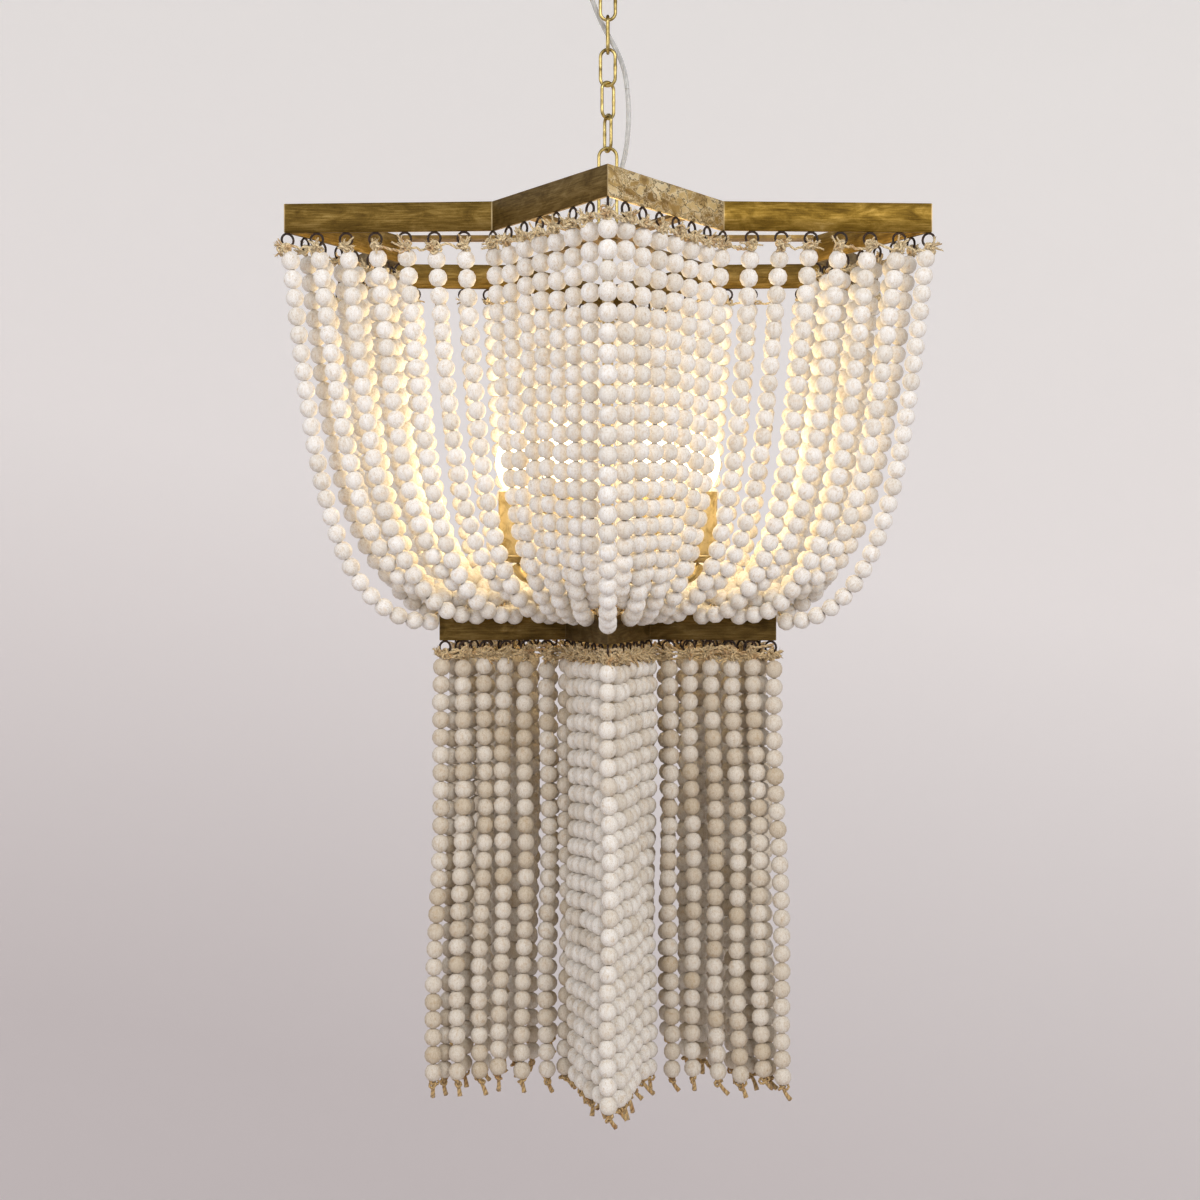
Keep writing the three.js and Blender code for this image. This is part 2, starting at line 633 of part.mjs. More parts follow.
// An upper strand falls steeply, then swings in towards the lower star. Every other strand is tied
// one layer higher than its neighbours
function upperStrand(tipNumber, side, spot) {
  const share = spot / UPPER_PITCHES;
  const top = pointOnSide(tipNumber, side, share, ...upperRings);
  const end = pointOnSide(tipNumber, side, share, ...lowerStar);
  end.addScaledVector(outward(tipNumber, side, share, ...lowerStar), STRAND_END_STANDOFF);
  const endHeight = LOWER_TOP - STRAND_END_DROP + (spot % 2) * BEAD_DIAMETER;
  const run = top.distanceTo(end);
  const lean = (SAG_HIGH_REACH_SHARE * run) / (SAG_HIGH_FALL_SHARE * (FRAME_BOTTOM - endHeight));
  const startHeight = FRAME_BOTTOM - GAP - STRAND_RADIUS * lean;
  const at = (reachShare, fallShare) => {
    const spotInPlan = top.clone().lerp(end, reachShare);
    const height = startHeight + fallShare * (endHeight - startHeight);
    return new THREE.Vector3(spotInPlan.x, spotInPlan.y, height);
  };
  const path = new THREE.CubicBezierCurve3(
    at(0, 0),
    at(SAG_HIGH_REACH_SHARE, SAG_HIGH_FALL_SHARE),
    at(SAG_LOW_REACH_SHARE, SAG_LOW_FALL_SHARE),
    at(1, 1),
  );
  return tube(path, STRAND_RADIUS, STRAND_SIDES, STRAND_STEPS);
}

// A lower strand hangs straight. The strands of a point crowd each other outwards, most at its tip
function lowerStrand(tipNumber, side, spot) {
  const share = spot / LOWER_PITCHES;
  const start = pointOnSide(tipNumber, side, share, ...lowerRings);
  const spread = spot === 1 ? LOWER_STRAND_SPREAD : 0;
  start.addScaledVector(outward(tipNumber, side, share, ...lowerStar), spread);
  const flare = (1 - share) * LOWER_STRAND_FLARE;
  const foot = start.clone().addScaledVector(outward(tipNumber, side, 0, ...lowerStar), flare);
  const top = LOWER_BOTTOM - GAP - (STRAND_RADIUS * flare) / LOWER_STRAND_LENGTH;
  const path = new THREE.LineCurve3(
    new THREE.Vector3(start.x, start.y, top),
    new THREE.Vector3(foot.x, foot.y, top - LOWER_STRAND_LENGTH),
  );
  return tube(path, STRAND_RADIUS, STRAND_SIDES, 1);
}

function strandGroup(tipNumber, pitches, star, frameBottom, strand) {
  const pieces = strandSpots(pitches).map(([side, spot]) => strand(tipNumber, side, spot));
  const twineTop = frameBottom - TWINE_DROP;
  pieces.push(twine(tipNumber, 1, 1, star, twineTop));
  pieces.push(twine(tipNumber, -1, (pitches - 1) / pitches, star, twineTop));
  return joined(pieces);
}

for (let point = 0; point < STAR_POINTS; point += 1) {
  const number = point + 1;
  const upper = strandGroup(2 * point, UPPER_PITCHES, upperRings, FRAME_BOTTOM, upperStrand);
  const lower = strandGroup(2 * point, LOWER_PITCHES, lowerRings, LOWER_BOTTOM, lowerStrand);
  place(`upper_strands_${number}`, upper, warmWood);
  place(`lower_strands_${number}`, lower, warmWood);
}

// Supply cable: points chosen by hand, in millimetres right of the middle, behind it, and above the top
// edge of the upper frame
const CABLE_UPPER_ROUTE = [
  [-19.5, 3, 264],
  [-19.5, 3, 254],
  [-19.5, 3, 244],
  [-19.2, 3, 234],
  [-17.6, 3.6, 225],
  [-14.4, 5, 216],
  [-9.4, 8.2, 204],
  [-3.4, 11, 192],
  [3.4, 11.6, 180],
  [9.8, 9.6, 167],
  [14.6, 6.9, 153],
  [16.9, 4.9, 141],
  [17.6, 4.2, 134.5],
];
const CABLE_LOWER_ROUTE = [
  [17.65, 4.17, 134.1],
  [18.3, 3.6, 127.8],
  [18.9, 3.4, 111],
  [18.2, 3.6, 94],
  [16.4, 4.4, 79],
  [13.2, 5.8, 65],
  [8.8, 6.6, 52],
  [4.4, 4.6, 40],
  [1.4, 1.6, 30],
  [0, 0, 21],
  [0, 0, 12.5],
];

function cable(route, steps) {
  const points = route.map(([x, y, z]) => new THREE.Vector3(x, y, z + FRAME_TOP));
  return tube(new THREE.CatmullRomCurve3(points), CABLE_RADIUS, CABLE_SIDES, steps);
}

place('supply_cable_upper', cable(CABLE_UPPER_ROUTE, CABLE_UPPER_ROUTE.length), clearCord);
place('supply_cable_lower', cable(CABLE_LOWER_ROUTE, CABLE_LOWER_ROUTE.length), clearCord);

export default chandelier;
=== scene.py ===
import math

import bpy
import numpy as np
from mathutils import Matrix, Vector


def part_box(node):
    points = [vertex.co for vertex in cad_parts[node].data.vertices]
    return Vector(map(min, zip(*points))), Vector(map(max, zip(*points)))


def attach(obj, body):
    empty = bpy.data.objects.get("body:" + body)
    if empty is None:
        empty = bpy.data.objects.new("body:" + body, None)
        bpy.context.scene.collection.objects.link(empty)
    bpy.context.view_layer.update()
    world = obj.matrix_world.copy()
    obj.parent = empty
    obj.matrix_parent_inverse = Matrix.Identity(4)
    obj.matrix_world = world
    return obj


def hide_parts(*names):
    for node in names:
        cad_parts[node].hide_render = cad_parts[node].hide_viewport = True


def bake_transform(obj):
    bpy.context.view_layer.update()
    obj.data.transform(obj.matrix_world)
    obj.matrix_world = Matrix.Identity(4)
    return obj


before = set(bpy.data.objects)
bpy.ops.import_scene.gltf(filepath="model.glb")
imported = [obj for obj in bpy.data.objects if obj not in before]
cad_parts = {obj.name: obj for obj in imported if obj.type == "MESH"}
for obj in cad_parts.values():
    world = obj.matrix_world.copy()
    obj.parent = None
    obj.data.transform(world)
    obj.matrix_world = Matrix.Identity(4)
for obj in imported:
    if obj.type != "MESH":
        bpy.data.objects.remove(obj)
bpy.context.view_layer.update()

MM = 0.001
TURN = 2 * math.pi
UP = np.array([0.0, 0.0, 1.0])
BACK = np.array([0.0, 1.0, 0.0])
RIGHT = np.array([1.0, 0.0, 0.0])
SHARP_ANGLE = math.radians(50)
SEED = 41
chance = np.random.default_rng(SEED)

# Places taken from the frame
FRAME_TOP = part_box("upper_star_frame")[1].z
FRAME_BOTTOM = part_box("upper_star_frame")[0].z
LOWER_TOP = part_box("lower_star_frame")[1].z
LOWER_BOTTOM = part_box("lower_star_frame")[0].z
UPPER_TIP_RADIUS = -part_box("upper_star_frame")[0].y
LOWER_TIP_RADIUS = -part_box("lower_star_frame")[0].y

# Star frames. The leaf shares say how much of the gold leaf each side has kept, from the front tip round
# to the right. The lower frame's shares are partly painted shade: sides that lie in the shade under the
# beads, the front ones most, get less leaf, so that they are darker
STAR_POINTS = 6
UPPER_NOTCH_RADIUS = 190.6 * MM
LOWER_NOTCH_RADIUS = 73.9 * MM
BAR_THICKNESS = 3.5 * MM
BAR_CHAMFER = 0.4 * MM
SEAM_WIDTH = 1.1 * MM
FLAKE_SIZE = 8 * MM
FLAKE_TEAR = 15 * MM
FLAKE_LEAN = 0.5
UPPER_SEAM_SHARE = 0.75
LOWER_SEAM_SHARE = 0.12
UPPER_LEAF_SHARES = [1.0, 0.85, 0.7, 0.45, 0.4, 0.3, 0.35, 0.4, 0.45, 0.6, 0.5, 0.35]
# Painted shade: less leaf on the lower sides that lie in the shade under the beads
LOWER_LEAF_AND_SHADE_SHARES = [0.3, 0.25, 0.6, 0.5, 0.4, 0.3, 0.3, 0.4, 0.5, 0.6, 0.3, 0.1]

# Bead strands. The front and the back point of a star are its proud points. The lower beads' tones are
# painted shade: darker than the upper beads', and darkest on the points that are not proud
BEAD_DIAMETER = 15 * MM
BEAD_PITCH = 15.1 * MM
BEAD_SIDES = 12
BEAD_OUTLINE_SHARES = [(0.26, -0.995), (0.73, -0.75), (1.0, -0.26), (1.0, 0.26), (0.73, 0.75), (0.26, 0.995)]
BEAD_SIZE_SPREAD = 0.02
BEAD_TILT = 0.045
GRAIN_OFFSET = 100
UPPER_TONES = (0.52, 0.98)
# Painted shade: the lower beads' tones, darker than the upper ones, the proud points' less so
LOWER_SHADED_TONES = (0.0, 0.34)
LOWER_PROUD_SHADED_TONES = (0.3, 0.66)
TONE_SKEW = 2
UPPER_PITCHES = 7
LOWER_PITCHES = 6
PROUD_POINTS = (0, 3)
UPPER_FIRST_BEAD = 22 * MM
LOWER_FIRST_BEAD = 24.5 * MM
UPPER_FIRST_SPREAD = 1.6 * MM
LOWER_FIRST_SPREAD = 2.6 * MM
LOWER_BEADS = 24
LOWER_PITCH = 15.36 * MM
LOWER_PITCH_SPREAD = 0.12 * MM
STRAND_END_STANDOFF = 8.5 * MM
STRAND_END_DROP = 2.5 * MM
TIP_STRAND_DROP = 5 * MM
STRAND_SWAY = 1.4 * MM
UPPER_SLIDE = 3.4 * MM
LOWER_SLIDE = 2.4 * MM
STRAND_WAVES = 1.4
LOWER_STRAND_SPREAD = 1.6 * MM
LOWER_STRAND_LENGTH = 404 * MM
LOWER_STRAND_FLARE = 12 * MM
LOWER_FIRST_STANDOFF = 2.5 * MM
SAG_REACH_SHARES = [0, 0.16, 0.25, 1]
SAG_FALL_SHARES = [0, 0.55, 1, 1]
CURVE_SAMPLES = 160
SETTLE_ROUNDS = 40
SETTLE_FROM = 10

# Wire rings under the bars
RING_OUTSIDE = 12.5 * MM
RING_WIRE_RADIUS = 1.05 * MM
RING_SINK = 0.4 * MM
RING_STEPS = 16
RING_SIDES = 5

# Jute twine: wraps round the rings, knots, frayed ends, bands from ring to ring, and tails
TWINE_RADIUS = 1.15 * MM
TWINE_LAY = 9 * MM
TWINE_SIDES = 5
THREAD_RADIUS = 0.8 * MM
THREAD_STEPS = 30
THREAD_SIDES = 4
WRAP_TURNS = 2
WRAP_HALF_WIDTH = 2.3 * MM
WRAP_STEPS = 18
LEG_STEPS = 3
HOLE_DEPTH = 2 * MM
KNOTS = 2
KNOT_SCALE = 1.65 * MM
KNOT_RADIUS = 1.2 * MM
KNOT_STEPS = 18
KNOT_STANDOFF = 2.4 * MM
KNOT_DROP = 1.6 * MM
KNOT_SPREAD = 2.2 * MM
UPPER_FRAYS = 8
LOWER_FRAYS = 14
FRAY_LENGTH = 11 * MM
UPPER_FRAY_RADIUS = 1.2 * MM
LOWER_FRAY_RADIUS = 1.5 * MM
FRAY_STEPS = 5
FRAY_LIFT = 0.55
FRAY_SPREAD = 0.75
FRAY_LENGTH_SHARES = (0.35, 1.0)
FRAY_CURL = 0.45
FRAY_FIBRES = 4
FIBRE_RADII = [0.26 * MM, 0.18 * MM, 0.06 * MM]
FIBRE_LENGTH = 3.6 * MM
FIBRE_LENGTH_SHARES = (0.5, 1.2)
FIBRE_SPREAD = 0.4
FIBRE_SIDES = 3
BAND_STEPS = 9
BAND_NOISE = 0.9 * MM
BAND_SAG = 2.2 * MM
BAND_SAG_SHARES = (-0.2, 1)
UPPER_BANDS = 2
UPPER_BAND_SPREAD = 4 * MM
UPPER_BAND_CHANCE = 0.2
LOWER_BANDS = 4
LOWER_BAND_HIGH = 3 * MM
LOWER_BAND_LOW = 19 * MM
LOWER_BAND_STANDOFF = 3 * MM
TAIL_LENGTH = 15.5 * MM
TAIL_RADII = [1.5 * MM, 1.6 * MM, 1.8 * MM, 2.0 * MM, 2.3 * MM]
TAIL_LEAN = 0.35
TAIL_SPREAD = 0.18
TAIL_LENGTH_SHARES = (0.65, 1.0)
TAIL_CURL = 0.25
TAIL_FIBRES = 10
TAIL_KNOT_DROP = 1.2 * MM
# How much darker the twine is by height: more towards the bottom
DARKENING_HEIGHTS = [-950 * MM, -940 * MM, -620 * MM, -600 * MM]
DARKENING_SHARES = [0.85, 0.4, 0.4, 0]
OVER_BAR_HEIGHT = 1.2 * MM
OVER_BAR_OUTSIDE = 2.5 * MM
OVER_BAR_INSIDE = 5.5 * MM
OVER_BAR_DROP = 9 * MM

# Chain, bail and collar
LINK_TURNS = [0, 88, -10, 39, 115]
LINK_LENGTH = 35.6 * MM
LINK_WIDTH = 16.4 * MM
LINK_WIRE_RADIUS = 1.4 * MM
LINK_CONTACT = 0.15 * MM
LINK_STEPS = 20
LINK_RUN_STEPS = 12
WELD_SHARE = 0.12
WELD_LENGTH = 2.2 * MM
BAIL_WIRE_RADIUS = 1.5 * MM
BAIL_WIDTH = 19.3 * MM
BAIL_LEG_STEPS = 8
LOOP_BEND_RADIUS = 7.8 * MM
LOOP_WIRE_RADIUS = 2 * MM
LOOP_SINK = 1.5 * MM
COLLAR_RADIUS = 10 * MM
COLLAR_LENGTH = 31 * MM
COLLAR_SPIGOT_RADIUS = 5 * MM
COLLAR_GROOVE = 0.8 * MM
COLLAR_GROOVE_SHARES = [0.16, 0.19, 0.23, 0.26]
COLLAR_RING_WALL = 2.7 * MM
BUSHING_BORE_RADIUS = 4.2 * MM
BUSHING_WALL = 0.8 * MM
BUSHING_FLANGE_HEIGHT = 2 * MM
WIRE_SIDES = 14
FIT = 0.3 * MM

# Hub, rod, lights and finial
HUB_BASE_HEIGHT = 4 * MM
HUB_TOP_RADIUS = 12 * MM
HUB_LIP_HEIGHT = 2 * MM
HUB_BORE_DEPTH = 5 * MM
ROD_RADIUS = 5 * MM
ARM_HUB_RADIUS = 20 * MM
ARM_RADIUS = 4.2 * MM
ARM_SAG = 5 * MM
ARM_REACH_SHARES = [0, 0.25, 0.6, 0.88, 1]
ARM_RISE_SHARES = [0, 0, -1, 0.1, 2.2]
ARM_STEPS = 24
ARM_DROP = 310 * MM
LIGHT_COUNT = 6
LIGHT_CIRCLE_RADIUS = 85 * MM
CUP_RADIUS = 18 * MM
CUP_HEIGHT = 7 * MM
CUP_STEM_RADIUS = 8 * MM
CUP_LIP_HEIGHT = 2.4 * MM
SLEEVE_RADIUS = 15 * MM
SLEEVE_WALL = 1.6 * MM
HOLDER_RADIUS = 12 * MM
SOCKET_DEPTH = 24 * MM
BULB_BASE_RADIUS = 7 * MM
BULB_RADIUS = 17.5 * MM
BULB_THREAD = 0.45 * MM
BULB_THREADS = 7
BULB_THREAD_STEPS = 6
BULB_OUTLINE_SHARES = [(0.4, 0.0), (0.78, 0.16), (1.0, 0.36), (0.72, 0.66), (0.25, 0.9), (0.0, 1.0)]
BULB_STEPS = 26
GLOW_MIDDLE_SHARE = 0.42
GLOW_SPREAD_SHARE = 0.3
FINIAL_OUTLINE_SHARES = [
    (0, 0), (0.42, 0.05), (0.84, 0.19), (1.0, 0.40), (0.90, 0.60), (0.74, 0.75), (0.62, 0.80), (0.78, 0.86),
    (0.78, 1.0), (0, 1.0),
]
SOFT_CORNER = 1.0 * MM
SMALL_CORNER = 0.5 * MM
CORNER_LIMIT_SHARE = 0.45
ROUND_SIDES = 48
WELD_DISTANCE = 0.01 * MM

# Finishes. A relief is how far the bumps of a finish stand out
LEAF_RELIEF = 0.6 * MM
BRASS_RELIEF = 0.2 * MM
WOOD_RELIEF = 0.5 * MM
RUST_RELIEF = 0.3 * MM
TWINE_RELIEF = 0.6 * MM
CORE_RELIEF = 0.2 * MM
SMUDGE_ROUGHNESS_SHARE = 1.7

# Supply cable
CABLE_RADIUS = 2.3 * MM
CORE_RADIUS = 0.95 * MM
CORE_OFFSET = 1.0 * MM
CORE_TWIST_LENGTH = 17 * MM
CORE_LAY = 3.4 * MM
CABLE_SIDES = 14
CORE_SIDES = 8
CABLE_STEPS = 160

# Camera, as fitted to the photograph
CAMERA_DISTANCE = 1710 * MM
CAMERA_DROP = 299.6 * MM
CAMERA_LENS = 56.13
CAMERA_SENSOR = 36
CAMERA_PITCH = math.radians(1.06)
CAMERA_YAW = math.radians(0.239)

# Lights and backdrop
BULB_LIGHT_POWER = 0.31
BULB_LIGHT_COLOUR = (1.0, 0.81, 0.46)
BULB_GLOW = 5.0
KEY_PLACE = (1.0, -2.7, 1.0)
KEY_SIZE = 1.6
KEY_POWER = 52
KEY_COLOUR = (1.0, 0.99, 0.985)
FILL_PLACE = (-1.9, -2.3, 0.4)
FILL_SIZE = 1.8
FILL_POWER = 28
FILL_COLOUR = (0.96, 0.97, 1.0)
WORLD_COLOUR = (0.88, 0.89, 0.93)
WORLD_STRENGTH = 0.31
STAGE_RADIUS = 5.0
STAGE_FLOOR = -2.3
STAGE_TOP = 3.0
STAGE_BEND = 1.6
STAGE_SIDES = 96
STAGE_GLOW = 0.225
STAGE_STEPS = 24
# Painted shade: the backdrop's colours from the floor up, darker low down
STAGE_LOW_COLOUR = (0.62, 0.573, 0.573)
STAGE_MIDDLE_COLOUR = (0.86, 0.833, 0.823)
STAGE_HIGH_COLOUR = (0.91, 0.895, 0.875)
STAGE_COLOUR_SHARES = (0.0, 0.35, 0.7)
# Painted shade on the backdrop: how much darker it gets towards the left
STAGE_SHADE_LEAN = 0.2


def unit(vectors):
    """The same directions at length 1: each vector over its own length."""
    return vectors / np.linalg.norm(vectors, axis=-1, keepdims=True)


def arc_places(points):
    """How far along a line of points each one is."""
    steps = np.linalg.norm(np.diff(points, axis=0), axis=1)
    return np.concatenate([[0], np.cumsum(steps)])


def at_places(points, places):
    """The points at these distances along a line of points."""
    along = arc_places(points)
    return np.stack([np.interp(places, along, axis) for axis in points.T], axis=1)


def smooth_curve(points, samples):
    """A centripetal Catmull-Rom curve: each stretch is three straight runs blended two times over, with
    knots spaced by the square root of the distance between points."""
    points = np.asarray(points, float)
    points = np.concatenate([[2 * points[0] - points[1]], points, [2 * points[-1] - points[-2]]])
    knots = np.concatenate([[0], np.cumsum(np.sqrt(np.linalg.norm(np.diff(points, axis=0), axis=1)))])
    t = np.linspace(knots[1], knots[-2], samples)
    i = np.clip(np.searchsorted(knots, t, side="right") - 1, 1, len(points) - 3)

    def run(a, b, first, second):
        share = ((t - knots[a]) / (knots[b] - knots[a]))[:, None]
        return first * (1 - share) + second * share

    a1 = run(i - 1, i, points[i - 1], points[i])
    a2 = run(i, i + 1, points[i], points[i + 1])
    a3 = run(i + 1, i + 2, points[i + 1], points[i + 2])
    return run(i, i + 1, run(i - 1, i + 1, a1, a2), run(i, i + 2, a2, a3))


def flat(plan, height=0.0):
    """Points or directions in plan, at a height."""
    plan = np.asarray(plan, float)
    return np.concatenate([plan, np.broadcast_to(height, plan.shape[:-1])[..., None]], axis=-1)


# Meshes. A patch is a pair of arrays: points, and faces of four corners each. A face whose last two
# corners are the same has three
def grid_faces(rows, columns, close_rows=False):
    """Corner numbers of the faces between the points of a rows by columns grid, closed round each row."""
    row = np.arange(rows if close_rows else rows - 1)
    row, column = (part.ravel() for part in np.meshgrid(row, np.arange(columns), indexing="ij"))
    next_row = (row + 1) % rows
    next_column = (column + 1) % columns
    return np.stack([
        row * columns + column,
        row * columns + next_column,
        next_row * columns + next_column,
        next_row * columns + column,
    ], axis=1)


def joined(patches):
    """Patches put together as one: each one's faces count on from the points before it."""
    starts = np.cumsum([0] + [len(points) for points, _ in patches[:-1]])
    points = np.concatenate([points for points, _ in patches])
    faces = np.concatenate([faces + start for (_, faces), start in zip(patches, starts)])
    return points, faces


def add_object(name, data):
    """A mesh, a camera or a light put into the scene."""
    made = bpy.data.objects.new(name, data)
    bpy.context.scene.collection.objects.link(made)
    return made


def add_piece(name, patch, material, body=None, nodes=(), attributes=None, sharp=True):
    """A smooth-shaded mesh at the origin from one patch. If sharp, edges where its faces turn more than
    the sharp angle stay crisp."""
    points, faces = patch
    three = faces[:, 2] == faces[:, 3]
    counts = np.where(three, 3, 4)
    kept = np.ones(faces.shape, bool)
    kept[three, 3] = False
    corners = faces[kept]
    mesh = bpy.data.meshes.new(name)
    mesh.vertices.add(len(points))
    mesh.vertices.foreach_set("co", np.asarray(points, np.float32).ravel())
    mesh.loops.add(len(corners))
    mesh.loops.foreach_set("vertex_index", corners.astype(np.int32))
    mesh.polygons.add(len(faces))
    mesh.polygons.foreach_set("loop_start", (np.cumsum(counts) - counts).astype(np.int32))
    mesh.update(calc_edges=True)
    mesh.shade_smooth()
    if sharp:
        mesh.set_sharp_from_angle(angle=SHARP_ANGLE)
    for key, values in (attributes or {}).items():
        kind, field = ("FLOAT", "value") if values.ndim == 1 else ("FLOAT_VECTOR", "vector")
        attribute = mesh.attributes.new(key, kind, "POINT")
        attribute.data.foreach_set(field, np.asarray(values, np.float32).ravel())
    mesh.materials.append(material)
    piece = add_object(name, mesh)
    if body:
        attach(piece, body)
    if nodes:
        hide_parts(*nodes)
    return piece


def tubes(paths, radii, sides, reference, closed=False):
    """Round tubes along many paths at once, paths being tubes by points by 3. At each path point a circle
    lies square to the path, counted from the direction square to both the path and the reference. Open
    ends get a cap. Gives the patch, and for each point the circle's cosine and sine and the distance
    along the path."""
    paths = np.asarray(paths, float)
    count, steps, _ = paths.shape
    if closed:
        along = unit(np.roll(paths, -1, axis=1) - np.roll(paths, 1, axis=1))
    else:
        along = unit(np.gradient(paths, axis=1))
    reference = np.broadcast_to(np.asarray(reference, float), (count, 3))[:, None]
    first = unit(np.cross(along, reference))
    second = np.cross(along, first)
    angle = np.arange(sides) / sides * TURN
    radii = np.broadcast_to(np.asarray(radii, float), (count, steps))[:, :, None, None]
    cosine, sine = np.cos(angle)[:, None], np.sin(angle)[:, None]
    circles = first[:, :, None] * cosine + second[:, :, None] * sine
    size = steps * sides
    points = (paths[:, :, None] + radii * circles).reshape(count, size, 3)
    gone = np.linalg.norm(np.diff(paths, axis=1), axis=2)
    gone = np.concatenate([np.zeros((count, 1)), np.cumsum(gone, axis=1)], axis=1)[:, :, None]
    twist = np.stack(np.broadcast_arrays(cosine[:, 0], sine[:, 0], gone), axis=-1).reshape(count, size, 3)
    faces = grid_faces(steps, sides, close_rows=closed)
    if not closed:
        points = np.concatenate([points, paths[:, :1], paths[:, -1:]], axis=1)
        twist = np.concatenate([twist, twist[:, :1], twist[:, -1:]], axis=1)
        side = np.arange(sides)
        after = (side + 1) % sides
        last = size - sides
        head = np.stack([after, side, side * 0 + size, side * 0 + size], axis=1)
        foot = np.stack([side + last, after + last, side * 0 + size + 1, side * 0 + size + 1], axis=1)
        faces = np.concatenate([faces, head, foot])
        size += 2
    starts = np.arange(count)[:, None, None] * size
    return (points.reshape(-1, 3), (faces[None] + starts).reshape(-1, 4)), twist.reshape(-1, 3)


def turned(outline, centre=(0, 0), closed=False, sides=ROUND_SIDES):
    """A surface of revolution about a vertical line: the outline's (radius, height) pairs go up on the
    outside, and each is a circle. A pair of no radius is one point, where the faces have three corners."""
    outline = np.asarray(outline, float)
    angle = np.arange(sides) / sides * TURN
    x = outline[:, :1] * np.cos(angle) + centre[0]
    y = outline[:, :1] * np.sin(angle) + centre[1]
    points = np.stack([x, y, np.broadcast_to(outline[:, 1:], x.shape)], axis=-1).reshape(-1, 3)
    number = np.arange(len(points)).reshape(len(outline), sides)
    poles = outline[:, 0] == 0
    number[poles] = number[poles][:, :1]
    faces = number.ravel()[grid_faces(len(outline), sides, close_rows=closed)]
    low_pole = faces[:, 0] == faces[:, 1]
    faces[low_pole] = faces[low_pole][:, [2, 3, 0, 1]]
    kept, faces = np.unique(faces, return_inverse=True)
    return points[kept], faces.reshape(-1, 4)


def rounded(outline, size, closed=False):
    """An outline whose corners are each three points of a quadratic curve that starts and ends size away
    from the corner, or nearly half the way to the next corner if that is less."""
    outline = np.asarray(outline, float)
    made = []
    for number, corner in enumerate(outline):
        if not closed and number in (0, len(outline) - 1):
            made.append(corner)
            continue
        before = outline[number - 1] - corner
        after = outline[(number + 1) % len(outline)] - corner
        start = corner + before * min(size / np.linalg.norm(before), CORNER_LIMIT_SHARE)
        end = corner + after * min(size / np.linalg.norm(after), CORNER_LIMIT_SHARE)
        made += [start, start / 4 + corner / 2 + end / 4, end]
    return np.array(made)


# Materials
class Finish:
    """A material in the making: each method adds a node and gives its output."""

    def __init__(self, name):
        self.material = bpy.data.materials.new(name)
        self.material.use_nodes = True
        self.nodes = self.material.node_tree.nodes
        self.links = self.material.node_tree.links

    def put(self, socket, value):
        """An input linked to another node's output, or set to a value. A colour is made opaque."""
        if isinstance(value, bpy.types.NodeSocket):
            self.links.new(value, socket)
        elif isinstance(value, tuple) and socket.type == "RGBA":
            socket.default_value = (*value, 1)
        else:
            socket.default_value = value

    def node(self, kind, output, sockets, **settings):
        """A node of this kind, its settings and its input sockets set, and one output of it."""
        node = self.nodes.new("ShaderNode" + kind)
        for name, value in settings.items():
            setattr(node, name, value)
        for socket, value in sockets.items():
            self.put(node.inputs[socket], value)
        return node.outputs[output]

    def set(self, **values):
        """The material, with inputs of its shader set. An underscore in a name stands for a space."""
        shader = self.nodes["Principled BSDF"]
        for name, value in values.items():
            self.put(shader.inputs[name.replace("_", " ")], value)
        return self.material

    def place(self, scale=(1, 1, 1)):
        """Coordinates of the object itself, scaled."""
        return self.scaled(self.node("TexCoord", "Object", {}), scale)

    def scaled(self, vector, scale):
        return self.node("Mapping", "Vector", {"Vector": vector, "Scale": scale})

    def attribute(self, name, output="Fac"):
        return self.node("Attribute", output, {}, attribute_name=name)

    def noise(self, vector, scale, detail=4.0, roughness=0.55, distortion=0.0):
        return self.node("TexNoise", "Fac", {
            "Vector": vector, "Scale": scale, "Detail": detail, "Roughness": roughness,
            "Distortion": distortion,
        })

    def math(self, operation, first, second=0.0):
        return self.node("Math", "Value", {0: first, 1: second}, operation=operation)

    def ramp(self, factor, stops):
        """Colours or greys between stops, each (place, colour)."""
        output = self.node("ValToRGB", "Color", {"Fac": factor})
        band = output.node.color_ramp
        while len(band.elements) < len(stops):
            band.elements.new(1.0)
        for element, (place, colour) in zip(band.elements, stops):
            element.position = place
            element.color = (*colour, 1) if isinstance(colour, tuple) else (colour, colour, colour, 1)
        return output

    def mix(self, factor, first, second, blend="MIX"):
        sockets = {"Factor": factor, 6: first, 7: second}
        return self.node("Mix", 2, sockets, data_type="RGBA", blend_type=blend)

    def bump(self, height, strength, distance):
        return self.node("Bump", "Normal", {"Height": height, "Strength": strength, "Distance": distance})

    def lay(self, length):
        """Two strands wound round each other: the squared cosine of the angle between the place round the
        cord and a direction that turns once in each length."""
        parts = self.node("SeparateXYZ", "X", {"Vector": self.attribute("twist", "Vector")}).node.outputs
        turn = self.math("MULTIPLY", parts["Z"], TURN / length)
        cosine = self.math("MULTIPLY", parts["X"], self.math("COSINE", turn))
        sine = self.math("MULTIPLY", parts["Y"], self.math("SINE", turn))
        near = self.math("ADD", cosine, sine)
        return self.math("MULTIPLY", near, near)


